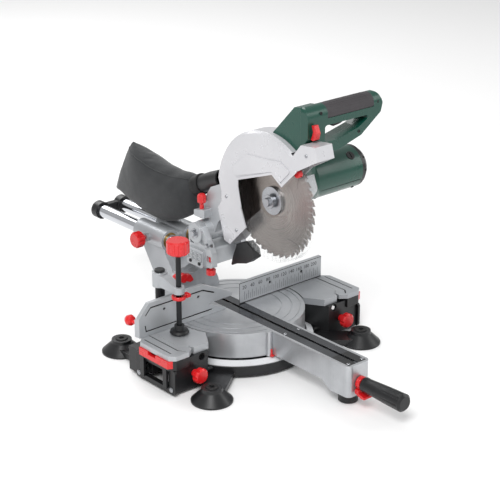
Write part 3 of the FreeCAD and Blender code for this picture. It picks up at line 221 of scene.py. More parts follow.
class EffectShelf:
    """Builds each shared effect once, as a shader node group."""

    def __init__(self) -> None:
        """Build every effect."""
        self.groups = {effect: self.build(effect) for effect in Effect}

    def build(self, effect: Effect) -> bpy.types.NodeTree:
        """Build one effect's group.

        Args:
            effect: which effect.

        Returns:
            The node group.
        """
        makers = {Effect.GRAIN: self.grain, Effect.MOTTLE: self.mottle, Effect.EDGES: self.edges,
                  Effect.WEAVE: self.weave, Effect.TURNED: self.turned}
        tree = bpy.data.node_groups.new(effect.value, "ShaderNodeTree")
        makers[effect](tree)
        return tree

    @staticmethod
    def sockets(tree: bpy.types.NodeTree, inputs: dict[str, str], outputs: dict[str, str]) -> tuple:
        """Declare a group's sockets.

        Args:
            tree: the group.
            inputs: input names and kinds.
            outputs: output names and kinds.

        Returns:
            The graph helper, the input node and the output node.
        """
        for name, kind in inputs.items():
            tree.interface.new_socket(name, in_out="INPUT", socket_type=SOCKETS[kind])
        for name, kind in outputs.items():
            tree.interface.new_socket(name, in_out="OUTPUT", socket_type=SOCKETS[kind])
        graph = Graph(tree)
        return graph, graph.add("NodeGroupInput"), graph.add("NodeGroupOutput")

    def grain(self, tree: bpy.types.NodeTree) -> None:
        """Fine even grain of cast metal and moulded plastic."""
        graph, source, sink = self.sockets(tree, {"Scale": "number", "Smudge": "number"},
                                           {"Height": "number", "Patches": "number"})
        place = graph.add("ShaderNodeTexCoord").outputs["Object"]
        fine = graph.add("ShaderNodeTexNoise", Vector=place, Scale=source.outputs["Scale"], Detail=3.0)
        broad = graph.add("ShaderNodeTexNoise", Vector=place, Scale=source.outputs["Smudge"], Detail=4.0,
                          Roughness=0.6)
        patches = graph.add("ShaderNodeMapRange", From_Min=0.35, From_Max=0.68, Value=broad.outputs[0])
        graph.feed(sink, "Height", fine.outputs[0])
        graph.feed(sink, "Patches", patches.outputs[0])

    def mottle(self, tree: bpy.types.NodeTree) -> None:
        """Slow change between two tones of one colour."""
        graph, source, sink = self.sockets(
            tree, {"Light": "colour", "Dark": "colour", "Scale": "number"}, {"Color": "colour"})
        place = graph.add("ShaderNodeTexCoord").outputs["Object"]
        cloud = graph.add("ShaderNodeTexNoise", Vector=place, Scale=source.outputs["Scale"], Detail=5.0)
        share = graph.add("ShaderNodeMapRange", From_Min=0.3, From_Max=0.7, Value=cloud.outputs[0])
        graph.feed(sink, "Color", graph.blend(share.outputs[0], source.outputs["Light"],
                                              source.outputs["Dark"]))

    def edges(self, tree: bpy.types.NodeTree) -> None:
        """Rounded edges for the light, and a mask where they are rubbed."""
        graph, source, sink = self.sockets(tree, {"Radius": "number", "Wear": "number"},
                                           {"Normal": "vector", "Mask": "number"})
        bevel = graph.add("ShaderNodeBevel", {"samples": 4}, Radius=source.outputs["Radius"])
        flat = graph.add("ShaderNodeNewGeometry").outputs["Normal"]
        facing = graph.add("ShaderNodeVectorMath", {"operation": "DOT_PRODUCT"})
        graph.feed(facing, "0", bevel.outputs[0])
        graph.feed(facing, "1", flat)
        turned = graph.maths("SUBTRACT", 1.0, facing.outputs["Value"])
        place = graph.add("ShaderNodeTexCoord").outputs["Object"]
        rub = graph.add("ShaderNodeTexNoise", Vector=place, Scale=90.0, Detail=4.0)
        strength = graph.maths("MULTIPLY", graph.maths("MULTIPLY", turned, 6.0), rub.outputs[0])
        mask = graph.add("ShaderNodeMath", {"operation": "MULTIPLY", "use_clamp": True})
        graph.feed(mask, "0", strength)
        graph.feed(mask, "1", source.outputs["Wear"])
        graph.feed(sink, "Normal", bevel.outputs[0])
        graph.feed(sink, "Mask", mask.outputs[0])

    def weave(self, tree: bpy.types.NodeTree) -> None:
        """Plain weave of heavy nylon."""
        graph, source, sink = self.sockets(tree, {"Scale": "number"},
                                           {"Height": "number", "Fade": "number"})
        place = graph.add("ShaderNodeTexCoord").outputs["Object"]
        threads = []
        for direction in ("Y", "Z"):
            wave = graph.add("ShaderNodeTexWave", {"bands_direction": direction}, Vector=place,
                             Scale=source.outputs["Scale"], Distortion=0.6, Detail=1.0)
            threads.append(wave.outputs[1])
        fade = graph.add("ShaderNodeTexNoise", Vector=place, Scale=14.0, Detail=5.0, Roughness=0.65)
        graph.feed(sink, "Height", graph.maths("MAXIMUM", *threads))
        graph.feed(sink, "Fade", fade.outputs[0])

    def turned(self, tree: bpy.types.NodeTree) -> None:
        """Fine rings left by turning, about an axis through a centre."""
        graph, source, sink = self.sockets(tree, {"Centre": "vector", "Keep": "vector", "Scale": "number"},
                                           {"Height": "number"})
        place = graph.add("ShaderNodeTexCoord").outputs["Object"]
        offset = graph.add("ShaderNodeVectorMath", {"operation": "SUBTRACT"})
        graph.feed(offset, "0", place)
        graph.feed(offset, "1", source.outputs["Centre"])
        plane = graph.add("ShaderNodeVectorMath", {"operation": "MULTIPLY"})
        graph.feed(plane, "0", offset.outputs[0])
        graph.feed(plane, "1", source.outputs["Keep"])
        reach = graph.add("ShaderNodeVectorMath", {"operation": "LENGTH"})
        graph.feed(reach, "0", plane.outputs[0])
        rings = graph.add("ShaderNodeTexNoise", {"noise_dimensions": "1D"}, Scale=source.outputs["Scale"],
                          Detail=4.0, Roughness=0.7)
        graph.feed(rings, "W", reach.outputs["Value"])
        graph.feed(sink, "Height", rings.outputs[0])


# ------------------------------------------------------------------ finishes


@dataclass(frozen=True)
class Finish:
    """A painted, moulded or cast surface."""

    name: str
    light: Colour
    dark: Colour
    roughness: float
    metallic: float = 0.0
    spread: float = 0.08
    grain: float = 900.0
    bump: float = 0.06
    edge: float = 0.8 * MM
    rub: Colour = (0.6, 0.6, 0.6)
    wear: float = 0.25
    coat: float = 0.0

    def build(self, shelf: EffectShelf) -> bpy.types.Material:
        """Build the material.

        Args:
            shelf: the shared effects.

        Returns:
            The finished material.
        """
        material, graph, shader = blank_material(self.name)
        tone = effect_node(graph, shelf, Effect.MOTTLE, Light=(*self.light, 1.0), Dark=(*self.dark, 1.0),
                           Scale=7.0)
        edges = effect_node(graph, shelf, Effect.EDGES, Radius=self.edge, Wear=self.wear)
        grain = effect_node(graph, shelf, Effect.GRAIN, Scale=self.grain, Smudge=18.0)
        colour = graph.blend(edges.outputs["Mask"], tone.outputs["Color"], (*self.rub, 1.0))
        rough = graph.ramp(grain.outputs["Patches"], self.roughness - self.spread,
                           self.roughness + self.spread)
        bump = graph.relief(self.bump, 0.3 * MM, grain.outputs["Height"], Normal=edges.outputs["Normal"])
        graph.surface(shader, colour, rough, bump)
        shader.inputs["Metallic"].default_value = self.metallic
        shader.inputs["Coat Weight"].default_value = self.coat
        return material


@dataclass(frozen=True)
class TurnedFinish:
    """Bright metal with the rings of its turning or grinding."""

    name: str
    light: Colour
    dark: Colour
    roughness: float
    centre: tuple[float, float, float]
    keep: tuple[float, float, float]
    scale: float = 900.0
    bump: float = 0.25
    metallic: float = 1.0
    brushed: float = 0.0

    def build(self, shelf: EffectShelf) -> bpy.types.Material:
        """Build the material.

        Args:
            shelf: the shared effects.

        Returns:
            The finished material.
        """
        material, graph, shader = blank_material(self.name)
        rings = effect_node(graph, shelf, Effect.TURNED, Centre=self.centre, Keep=self.keep,
                            Scale=self.scale)
        grain = effect_node(graph, shelf, Effect.GRAIN, Scale=400.0, Smudge=16.0)
        edges = effect_node(graph, shelf, Effect.EDGES, Radius=0.4 * MM, Wear=0.2)
        share = graph.maths("MULTIPLY", rings.outputs[0], grain.outputs["Patches"])
        colour = graph.blend(share, (*self.light, 1.0), (*self.dark, 1.0))
        rough = graph.ramp(rings.outputs[0], self.roughness - 0.07, self.roughness + 0.12)
        bump = graph.relief(self.bump, 0.1 * MM, rings.outputs[0], Normal=edges.outputs["Normal"])
        graph.surface(shader, colour, rough, bump)
        shader.inputs["Metallic"].default_value = self.metallic
        if self.brushed:
            round_axis = graph.add("ShaderNodeTangent", {"direction_type": "RADIAL", "axis": "X"})
            graph.feed(shader, "Tangent", round_axis.outputs[0])
            shader.inputs["Anisotropic"].default_value = self.brushed
        return material


@dataclass(frozen=True)
class ClothFinish:
    """Heavy woven nylon."""

    name: str
    light: Colour
    dark: Colour
    pitch: float = 420.0

    def build(self, shelf: EffectShelf) -> bpy.types.Material:
        """Build the material.

        Args:
            shelf: the shared effects.

        Returns:
            The finished material.
        """
        material, graph, shader = blank_material(self.name)
        weave = effect_node(graph, shelf, Effect.WEAVE, Scale=self.pitch)
        share = graph.maths("MULTIPLY", weave.outputs["Height"], weave.outputs["Fade"])
        colour = graph.blend(share, (*self.dark, 1.0), (*self.light, 1.0))
        rough = graph.ramp(weave.outputs["Fade"], 0.72, 0.95)
        graph.surface(shader, colour, rough, graph.relief(0.35, 0.25 * MM, weave.outputs["Height"]))
        shader.inputs["Sheen Weight"].default_value = 0.25
        shader.inputs["Sheen Roughness"].default_value = 0.5
        return material


@dataclass(frozen=True)
class ClearFinish:
    """Clear moulded plastic, a little scuffed."""

    name: str
    tint: Colour
    alpha: float

    def build(self, shelf: EffectShelf) -> bpy.types.Material:
        """Build the material.

        Args:
            shelf: the shared effects.

        Returns:
            The finished material.
        """
        material, graph, shader = blank_material(self.name)
        grain = effect_node(graph, shelf, Effect.GRAIN, Scale=260.0, Smudge=24.0)
        edges = effect_node(graph, shelf, Effect.EDGES, Radius=0.5 * MM, Wear=0.8)
        tone = graph.blend(grain.outputs["Patches"], (*self.tint, 1.0), (0.95, 0.96, 0.97, 1.0))
        rough = graph.ramp(grain.outputs["Patches"], 0.06, 0.2)
        graph.surface(shader, tone, rough, edges.outputs["Normal"])
        weight = graph.add("ShaderNodeLayerWeight", Blend=0.5)
        facing = graph.add("ShaderNodeMapRange", From_Min=0.72, To_Max=0.8, Value=weight.outputs["Facing"])
        rim = graph.maths("MAXIMUM", edges.outputs["Mask"], facing.outputs[0])
        graph.feed(shader, "Alpha", graph.ramp(rim, self.alpha, 0.7))
        return material


def blank_material(name: str) -> tuple:
    """Start a material with a Principled shader.

    Args:
        name: the material's name.

    Returns:
        The material, its graph helper and its shader node.
    """
    material = bpy.data.materials.new(name)
    material.use_nodes = True
    return material, Graph(material.node_tree), material.node_tree.nodes["Principled BSDF"]


def effect_node(graph: Graph, shelf: EffectShelf, effect: Effect, **inputs: object) -> bpy.types.Node:
    """Place a shared effect in a material.

    Args:
        graph: the material's graph.
        shelf: the shared effects.
        effect: which one.
        inputs: its input values.

    Returns:
        The group node.
    """
    node = graph.add("ShaderNodeGroup", {"node_tree": shelf.groups[effect]})
    for name, value in inputs.items():
        graph.feed(node, name, value)
    return node


def axis_centre(node: str) -> tuple[float, float, float]:
    """Return the middle of a node's box."""
    low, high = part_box(node)
    return tuple((a + b) / 2 for a, b in zip(low, high))


FINISHES = (
    Finish("cast_silver", srgb(188, 191, 194), srgb(158, 161, 165), 0.40, metallic=0.45, grain=1100.0,
           bump=0.10, rub=(0.8, 0.8, 0.8), wear=0.5),
    Finish("guard_silver", srgb(208, 208, 211), srgb(196, 196, 200), 0.32, metallic=0.25, coat=0.2,
           rub=(0.85, 0.85, 0.86), wear=0.3, bump=0.03),
    Finish("base_black", srgb(26, 27, 29), srgb(15, 16, 18), 0.36, grain=1300.0, bump=0.12, wear=0.4,
           rub=(0.12, 0.12, 0.125)),
    Finish("moulded_black", srgb(23, 24, 26), srgb(14, 15, 17), 0.40, grain=1500.0, bump=0.14, wear=0.35,
           rub=(0.09, 0.09, 0.095)),
    Finish("deep_black", srgb(16, 16, 17), srgb(11, 11, 12), 0.6, wear=0.0),
    Finish("teal_shell", srgb(14, 78, 64), srgb(8, 62, 51), 0.30, grain=1500.0, bump=0.08, coat=0.15,
           rub=srgb(70, 130, 115), wear=0.35),
    Finish("signal_red", srgb(222, 32, 36), srgb(196, 20, 26), 0.30, grain=900.0, bump=0.04, coat=0.25,
           rub=srgb(240, 110, 105), wear=0.35),
    Finish("grip_rubber", srgb(74, 70, 73), srgb(54, 51, 54), 0.66, grain=1900.0, bump=0.28, wear=0.2,
           rub=srgb(120, 116, 118)),
    Finish("dark_iron", srgb(34, 35, 37), srgb(22, 23, 25), 0.34, metallic=0.5, bump=0.10),
    Finish("plain_steel", srgb(176, 178, 182), srgb(150, 152, 156), 0.28, metallic=1.0, bump=0.06,
           rub=(0.8, 0.8, 0.8)),
    Finish("strip_steel", srgb(104, 106, 110), srgb(66, 68, 72), 0.24, metallic=0.9, bump=0.05,
           rub=(0.7, 0.7, 0.7)),
    Finish("rail_chrome", srgb(212, 214, 218), srgb(196, 198, 203), 0.12, metallic=1.0, spread=0.03,
           bump=0.01, rub=(0.9, 0.9, 0.9)),
    Finish("motor_copper", srgb(150, 96, 62), srgb(96, 62, 44), 0.45, metallic=0.7),
    Finish("bush_brass", srgb(190, 158, 96), srgb(170, 136, 78), 0.32, metallic=1.0),
    Finish("ring_white", srgb(224, 226, 228), srgb(212, 214, 217), 0.4, bump=0.03, rub=(0.9, 0.9, 0.9)),
    Finish("print_black", srgb(30, 31, 34), srgb(24, 25, 27), 0.5, bump=0.02, wear=0.0),
    TurnedFinish("table_machined", srgb(196, 198, 201), srgb(152, 155, 159), 0.30, (0.0, FENCE_FACE, 0.0),
                 (1.0, 1.0, 0.0), scale=700.0, bump=0.22, metallic=0.7),
    TurnedFinish("blade_steel", srgb(150, 143, 138), srgb(92, 84, 79), 0.24, axis_centre("blade"),
                 (0.0, 1.0, 1.0), scale=1400.0, bump=0.12, brushed=0.85),
    ClothFinish("bag_nylon", srgb(50, 53, 56), srgb(22, 24, 26)),
    ClearFinish("clear_guard", (0.80, 0.82, 0.83), 0.05),
)

NODE_FINISH = {
    "cast_silver": ("table_plates", "left_fence", "right_fence", "tilt_arm", "rail_bracket", "head_arm",
                    "clamp_arm", "extension_top_left", "extension_top_right"),
    "guard_silver": ("upper_guard",),
    "ring_white": ("mitre_scale_ring",),
    "table_machined": ("turntable",),
    "base_black": ("base_casting", "outrigger_feet", "extension_frame_left", "extension_frame_right"),
    "moulded_black": ("end_frames", "mitre_grip", "arm_foot", "rail_bridge", "motor_cap", "brush_caps",
                      "dust_chute", "dust_spout", "trigger", "clamp_pad"),
    "teal_shell": ("motor_housing", "handle_shells"),
    "signal_red": ("fence_knob", "detent_lever", "bevel_lever", "slide_knob", "head_lock_pin",
                   "depth_stop", "lockoff_lever", "guard_roller", "clamp_knob", "lock_knob_left",
                   "lock_knob_right", "extension_strip_left", "extension_strip_right"),
    "grip_rubber": ("grip_cover",),
    "dark_iron": ("clamp_post", "clamp_spindle"),
    "plain_steel": ("end_frame_screws", "pivot_bolt", "chop_pin", "bearings", "drive_gear", "arbor",
                    "blade_flanges", "arbor_bolt"),
    "strip_steel": ("insert_strips",),
    "rail_chrome": ("rails",),
    "motor_copper": ("stator", "armature"),
    "bush_brass": ("rail_bushes",),
    "blade_steel": ("blade",),
    "clear_guard": ("lower_guard",),
}


class Palette:
    """All materials of the saw, by the finish's name."""

    def __init__(self) -> None:
        """Build every finish."""
        shelf = EffectShelf()
        self.materials = {finish.name: finish.build(shelf) for finish in FINISHES}

    def __getitem__(self, name: str) -> bpy.types.Material:
        """Return the material of a finish."""
        return self.materials[name]

    def dress_frame(self) -> None:
        """Give every carried-over node its finish."""
        for finish, nodes in NODE_FINISH.items():
            for node in nodes:
                for slot in frame["nodes"][node].material_slots:
                    slot.material = self[finish]


# ------------------------------------------------------------------ making pieces


def new_piece(name: str, mesh: Mesh, body: str,
              material: bpy.types.Material | None = None) -> bpy.types.Object:
    """Link a mesh as a piece that rides on a body.

    Args:
        name: the piece's name.
        mesh: its mesh, already in place.
        body: the body it rides on.
        material: its material, if the mesh has none yet.

    Returns:
        The new object.
    """
    piece = bpy.data.objects.new(name, mesh)
    bpy.context.collection.objects.link(piece)
    if material:
        mesh.materials.clear()
        mesh.materials.append(material)
    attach(piece, body)
    LOG.info("piece %s on %s", name, body)
    return piece


def plain_mesh(shape: Shape, name: str, smooth: bool = False) -> Mesh:
    """Turn a bmesh into a mesh with outward faces.

    Args:
        shape: the bmesh, which is freed.
        name: the mesh's name.
        smooth: whether its faces are smooth shaded.

    Returns:
        The mesh.
    """
    bmesh.ops.remove_doubles(shape, verts=shape.verts, dist=1e-6)
    bmesh.ops.recalc_face_normals(shape, faces=shape.faces)
    for face in shape.faces:
        face.smooth = smooth
    mesh = bpy.data.meshes.new(name)
    shape.to_mesh(mesh)
    shape.free()
    return mesh


def add_bar(shape: Shape, centre: Vector, size: Vector, turn: Matrix | None = None) -> None:
    """Add a small plain bar to a bmesh.

    Args:
        shape: the bmesh.
        centre: the bar's centre.
        size: its full size.
        turn: how it is turned.
    """
    place = Matrix.Translation(centre) @ (turn or Matrix()) @ Matrix.Diagonal((*size, 1.0))
    bmesh.ops.create_cube(shape, size=1.0, matrix=place)


def add_lathe(shape: Shape, start: Vector, along: Vector, profile: list[Flat],
              steps: int = 40) -> None:
    """Add a turned form to a bmesh.

    Args:
        shape: the bmesh.
        start: the point on the axis where levels count from.
        along: the axis.
        profile: (level, radius) points, from end to end, closed on the axis if the radius is 0.
        steps: how many faces go round.
    """
    turn = along.normalized().to_track_quat("Z", "Y").to_matrix().to_4x4()
    place = Matrix.Translation(start) @ turn
    rings = []
    for level, radius in profile:
        if radius < 1e-7:
            rings.append([shape.verts.new(place @ Vector((0, 0, level)))] * steps)
            continue
        rings.append([shape.verts.new(place @ Vector((radius * math.cos(t), radius * math.sin(t), level)))
                      for t in (2 * math.pi * i / steps for i in range(steps))])
    for low, high in zip(rings, rings[1:]):
        for i in range(steps):
            corners = (low[i], low[(i + 1) % steps], high[(i + 1) % steps], high[i])
            unique = list(dict.fromkeys(corners))
            if len(unique) > 2:
                shape.faces.new(unique)


def ribbon(shape: Shape, path: list[Vector], across: Vector, width: float,
           height: float) -> None:
    """Add a flat band with mitred corners along a path.

    Args:
        shape: the bmesh.
        path: the band's middle line.
        across: the face's outward direction.
        width: the band's width.
        height: how thick it is.
    """
    sides = []
    for i, point in enumerate(path):
        before = (point - path[i - 1]).normalized() if i else (path[1] - point).normalized()
        after = (path[i + 1] - point).normalized() if i < len(path) - 1 else before
        side = across.cross((before + after).normalized()).normalized()
        reach = width / 2 / max(0.4, side.dot(across.cross(before).normalized()))
        sides.append((point + side * reach, point - side * reach))
    lift = across.normalized() * height
    low = [(shape.verts.new(a), shape.verts.new(b)) for a, b in sides]
    high = [(shape.verts.new(a + lift), shape.verts.new(b + lift)) for a, b in sides]
    for i in range(len(path) - 1):
        for first, second in ((low, 1), (high, 1)):
            shape.faces.new((first[i][0], first[i][1], first[i + second][1], first[i + second][0]))
        for side in (0, 1):
            shape.faces.new((low[i][side], low[i + 1][side], high[i + 1][side], high[i][side]))
    for end in (0, -1):
        shape.faces.new((low[end][0], low[end][1], high[end][1], high[end][0]))


class Repeater:
    """Geometry Nodes trees that repeat a small part."""

    def __init__(self) -> None:
        """Build the trees once."""
        self.tree, self.ids = self.build()

    @staticmethod
    def build() -> tuple[bpy.types.NodeTree, dict[str, str]]:
        """Build the tree that sets a part on every point, turned along its direction.

        Returns:
            The tree and its inputs' identifiers by name.
        """
        tree = bpy.data.node_groups.new("set_on_points", "GeometryNodeTree")
        tree.interface.new_socket("Geometry", in_out="INPUT", socket_type="NodeSocketGeometry")
        kinds = {"Part": "NodeSocketObject", "Size": "NodeSocketFloat", "Finish": "NodeSocketMaterial"}
        ids = {name: tree.interface.new_socket(name, in_out="INPUT", socket_type=kind).identifier
               for name, kind in kinds.items()}
        tree.interface.new_socket("Geometry", in_out="OUTPUT", socket_type="NodeSocketGeometry")
        graph = Graph(tree)
        source, sink = graph.add("NodeGroupInput"), graph.add("NodeGroupOutput")
        part = graph.add("GeometryNodeObjectInfo", Object=source.outputs["Part"])
        facing = graph.add("GeometryNodeInputNamedAttribute", {"data_type": "FLOAT_VECTOR"}, Name="facing")
        turn = graph.add("FunctionNodeAlignRotationToVector", {"axis": "Z"},
                         Vector=facing.outputs["Attribute"])
        spread = graph.add("GeometryNodeInstanceOnPoints", Points=source.outputs["Geometry"],
                           Instance=part.outputs["Geometry"], Rotation=turn.outputs["Rotation"],
                           Scale=source.outputs["Size"])
        real = graph.add("GeometryNodeRealizeInstances", Geometry=spread.outputs[0])
        paint = graph.add("GeometryNodeSetMaterial", Geometry=real.outputs[0],
                          Material=source.outputs["Finish"])
        graph.feed(sink, "Geometry", paint.outputs[0])
        return tree, ids

    def place(self, name: str, part: Mesh, spots: list[tuple[Vector, Vector]], size: float,
              body: str, slot: str, material: bpy.types.Material) -> bpy.types.Object:
        """Set copies of a small part on points.

        Args:
            name: the piece's name.
            part: the mesh that is repeated, drawn along +Z from its seat.
            spots: each copy's seat and outward direction.
            size: scale of the copies.
            body: the body they ride on.
            slot: the record's material slot; not used.
            material: their finish.

        Returns:
            The finished piece.
        """
        points = bpy.data.meshes.new(name + "_points")
        points.from_pydata([tuple(seat) for seat, _ in spots], [], [])
        facing = points.attributes.new("facing", "FLOAT_VECTOR", "POINT")
        for i, (_, outward) in enumerate(spots):
            facing.data[i].vector = outward
        template = bpy.data.objects.new(name + "_part", part)
        holder = bpy.data.objects.new(name + "_holder", points)
        for item in (template, holder):
            bpy.context.collection.objects.link(item)
        modifier = holder.modifiers.new("repeat", "NODES")
        modifier.node_group = self.tree
        for key, value in (("Part", template), ("Size", size), ("Finish", material)):
            modifier[self.ids[key]] = value
        seen = holder.evaluated_get(bpy.context.evaluated_depsgraph_get())
        mesh = bpy.data.meshes.new_from_object(seen)
        for item in (template, holder):
            bpy.data.objects.remove(item)
        return new_piece(name, mesh, body)


def socket_screw(recess_sides: int = 6) -> Mesh:
    """Draw a button-headed screw of radius 1 with a recess.

    Args:
        recess_sides: how many sides the recess has.

    Returns:
        Its mesh, standing on its seat.
    """
    shape = bmesh.new()
    add_lathe(shape, Vector((0, 0, -0.2)), UP,
              [(0.0, 0.0), (0.0, 1.0), (0.45, 1.0), (0.7, 0.8), (0.78, 0.5)], 18)
    floor_ring, top_ring = [], []
    for i in range(18):
        turn = 2 * math.pi * i / 18
        snapped = round(turn / (2 * math.pi / recess_sides)) * 2 * math.pi / recess_sides
        reach = 0.42 * math.cos(math.pi / recess_sides) / max(0.8, math.cos(turn - snapped))
        floor_ring.append(shape.verts.new((reach * math.cos(turn), reach * math.sin(turn), 0.2)))
        top_ring.append(shape.verts.new((reach * math.cos(turn), reach * math.sin(turn), 0.58)))
    rim = [shape.verts.new((0.5 * math.cos(t), 0.5 * math.sin(t), 0.58))
           for t in (2 * math.pi * i / 18 for i in range(18))]
    for i in range(18):
        j = (i + 1) % 18
        shape.faces.new((rim[i], rim[j], top_ring[j], top_ring[i]))
        shape.faces.new((top_ring[i], top_ring[j], floor_ring[j], floor_ring[i]))
    shape.faces.new(floor_ring)
    return plain_mesh(shape, "socket_screw")


def hex_nut() -> Mesh:
    """Draw a hexagon bolt head of radius 1 on a washer.

    Returns:
        Its mesh, standing on its seat.
    """
    shape = bmesh.new()
    washer = [(0, 0), (0, 1.35), (0.3, 1.35), (0.3, 0.9)]
    add_lathe(shape, Vector((0, 0, -0.1)), UP, washer, 28)
    add_lathe(shape, Vector((0, 0, 0.15)), UP, [(0, 0), (0, 1.0), (0.7, 1.0), (0.85, 0.82),
                                                               (0.85, 0.0)], 6)
    return plain_mesh(shape, "hex_nut")


def lettering(text: str, size: float, place: Matrix, depth: float) -> Mesh:
    """Make a number as a thin mesh.

    Args:
        text: the figures.
        size: the figures' height.
        place: where their middle stands and how they are turned.
        depth: how thick they are.

    Returns:
        The mesh, in place.
    """
    curve = bpy.data.curves.new("figure", "FONT")
    curve.body = text
    curve.size = size
    curve.align_x = "CENTER"
    curve.align_y = "CENTER"
    curve.extrude = depth / 2
    curve.resolution_u = 2
    holder = bpy.data.objects.new("figure", curve)
    bpy.context.collection.objects.link(holder)
    mesh = bpy.data.meshes.new_from_object(holder.evaluated_get(bpy.context.evaluated_depsgraph_get()))
    bpy.data.objects.remove(holder)
    mesh.transform(place)
    return mesh


def merged(meshes: list[Mesh], name: str) -> Mesh:
    """Join meshes into one.

    Args:
        meshes: the meshes.
        name: the new mesh's name.

    Returns:
        The joined mesh.
    """
    shape = bmesh.new()
    for mesh in meshes:
        shape.from_mesh(mesh)
    bmesh.ops.recalc_face_normals(shape, faces=shape.faces)
    joined = bpy.data.meshes.new(name)
    shape.to_mesh(joined)
    shape.free()
    return joined


def spoke(turn: float) -> tuple[Vector, Matrix]:
    """Return the direction at an angle from +Y to +Z, and the turn that goes with it."""
    return Vector((0, math.cos(turn), math.sin(turn))), Matrix.Rotation(turn, 4, "X")


@dataclass
class Workshop:
    """The materials and the repeater that every detail is made with."""

    palette: Palette
    repeater: Repeater

    def fit(self, name: str, form: Shape | Mesh, body: str, slot: str, finish: str,
            smooth: bool = False) -> None:
        """Make a piece and give it its finish.

        Args:
            name: the piece's name.
            form: its bmesh, or its finished mesh.
            body: the body it rides on.
            slot: the record's material slot; not used.
            finish: the finish's name.
            smooth: whether a bmesh's faces are smooth shaded.
        """
        mesh = form if isinstance(form, bpy.types.Mesh) else plain_mesh(form, name, smooth)
        new_piece(name, mesh, body, self.palette[finish])

    def screws(self, name: str, part: Mesh, spots: list[tuple[Vector, Vector]], size: float, body: str,
               slot: str, finish: str) -> None:
        """Set copies of a small part, as Repeater.place does, by the finish's name."""
        self.repeater.place(name, part, spots, size, body, slot, self.palette[finish])


@dataclass
class Detail:
    """A group of visible details, made with the workshop's help."""

    shop: Workshop


# ------------------------------------------------------------------ base and tables


FENCE_GAP = 7.0
RULE_END = 220.0


@dataclass
class FenceRule(Detail):
    """The printed rule on the face of the fixed fence."""

    first: float = 20.0
    last: float = 200.0
    step: float = 20.0
    tick: float = 5.0
    print_depth: float = 0.12 * MM
    figure: float = 10.5 * MM

    def build(self) -> None:
        """Print the ticks and the figures."""
        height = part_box("right_fence")[1][2] - TABLE_TOP
        turn = Matrix.Rotation(math.pi / 2, 4, "X")
        shape = bmesh.new()
        count = int((self.last + 12) / self.tick)
        for i in range(4, count + 1):
            x = i * self.tick
            tall = 17.0 if i % 2 == 0 else 11.0
            size = Vector((0.55 * MM, 2 * self.print_depth, tall * MM))
            add_bar(shape, table(x, 0, 6.0 + tall / 2), size)
        add_bar(shape, table((FENCE_GAP + RULE_END) / 2, 0, height / MM - 1.0),
                Vector(((RULE_END - FENCE_GAP) * MM, 2 * self.print_depth, 1.2 * MM)))
        add_bar(shape, table((RULE_END + FENCE_GAP) / 2, 0, 1.2),
                Vector(((RULE_END - FENCE_GAP) * MM, 2 * self.print_depth, 1.5 * MM)))
        add_bar(shape, table(FENCE_GAP + 0.7, 0, height / MM / 2),
                Vector((1.0 * MM, 2 * self.print_depth, height - 2.4 * MM)))
        ticks = plain_mesh(shape, "rule_ticks")
        parts = [ticks]
        for i in range(int((self.last - self.first) / self.step) + 1):
            value = self.first + i * self.step
            place = Matrix.Translation(table(value, 0, 31.5)) @ turn
            parts.append(lettering(f"{value:.0f}", self.figure, place, 2 * self.print_depth))
        self.shop.fit("rule_print", merged(parts, "rule_print"), "base", "black_plastic", "print_black")


@dataclass
class PaintedGapShade(Detail):
    """Painted shade: black arcs set down in the gap beside the round table, where shade falls."""

    low_radius: float = 130.9
    high_radius: float = 132.4
    start: float = -20.0
    end: float = 3.0

    def build(self) -> None:
        """Fit the two black arcs of painted shade."""
        shape = bmesh.new()
        middle = (self.low_radius + self.high_radius) / 2
        for side in (-1, 1):
            path = []
            for i in range(21):
                turn = math.radians(self.start + (self.end - self.start) * i / 20)
                path.append(table(side * middle * math.cos(turn), middle * math.sin(turn), -8.0))
            ribbon(shape, path, UP, (self.high_radius - self.low_radius) * MM, 6.6 * MM)
        # Painted shade: these black arcs stand for the shade that falls in the gap.
        self.shop.fit("table_gap_arcs", shape, "base", "black_plastic", "deep_black")



@dataclass
class MitreScale(Detail):
    """The degree marks on the sloping ring, and the pointer above it."""

    low_radius: float = 146.5
    high_radius: float = 138.0
    low_level: float = -56.4
    high_level: float = -50.6
    every: int = 5
    reach: int = 45

    def build(self) -> None:
        """Print the marks and fit the pointer."""
        slope = math.atan2(self.high_level - self.low_level, self.low_radius - self.high_radius)
        shape = bmesh.new()
        for degree in range(-self.reach - 2, self.reach + 3):
            long = 5.2 if degree % self.every == 0 else 3.0
            turn = math.radians(degree)
            away = Vector((math.sin(turn), -math.cos(turn), 0))
            middle = self.low_radius - 1.2 - long / 2 * math.cos(slope)
            level = self.low_level + (self.low_radius - middle) * math.tan(slope)
            centre = table(0, 0, level) + away * middle * MM
            aim = Matrix.Rotation(turn, 4, "Z") @ Matrix.Rotation(slope, 4, "X")
            add_bar(shape, centre, Vector((0.5 * MM, long * MM, 0.35 * MM)), aim)
        self.shop.fit("mitre_marks", shape, "base", "black_plastic", "print_black")
        pointer = bmesh.new()
        x, y = -31.0, -128.0
        add_bar(pointer, table(x + 1, y - 6.4, -40.5), Vector((3.4 * MM, 2.0 * MM, 12.0 * MM)))
        add_bar(pointer, table(x + 1, y - 8.0, -46.8), Vector((6.4 * MM, 5.0 * MM, 2.4 * MM)))
        self.shop.fit("mitre_pointer", pointer, "turntable", "red_plastic", "signal_red")


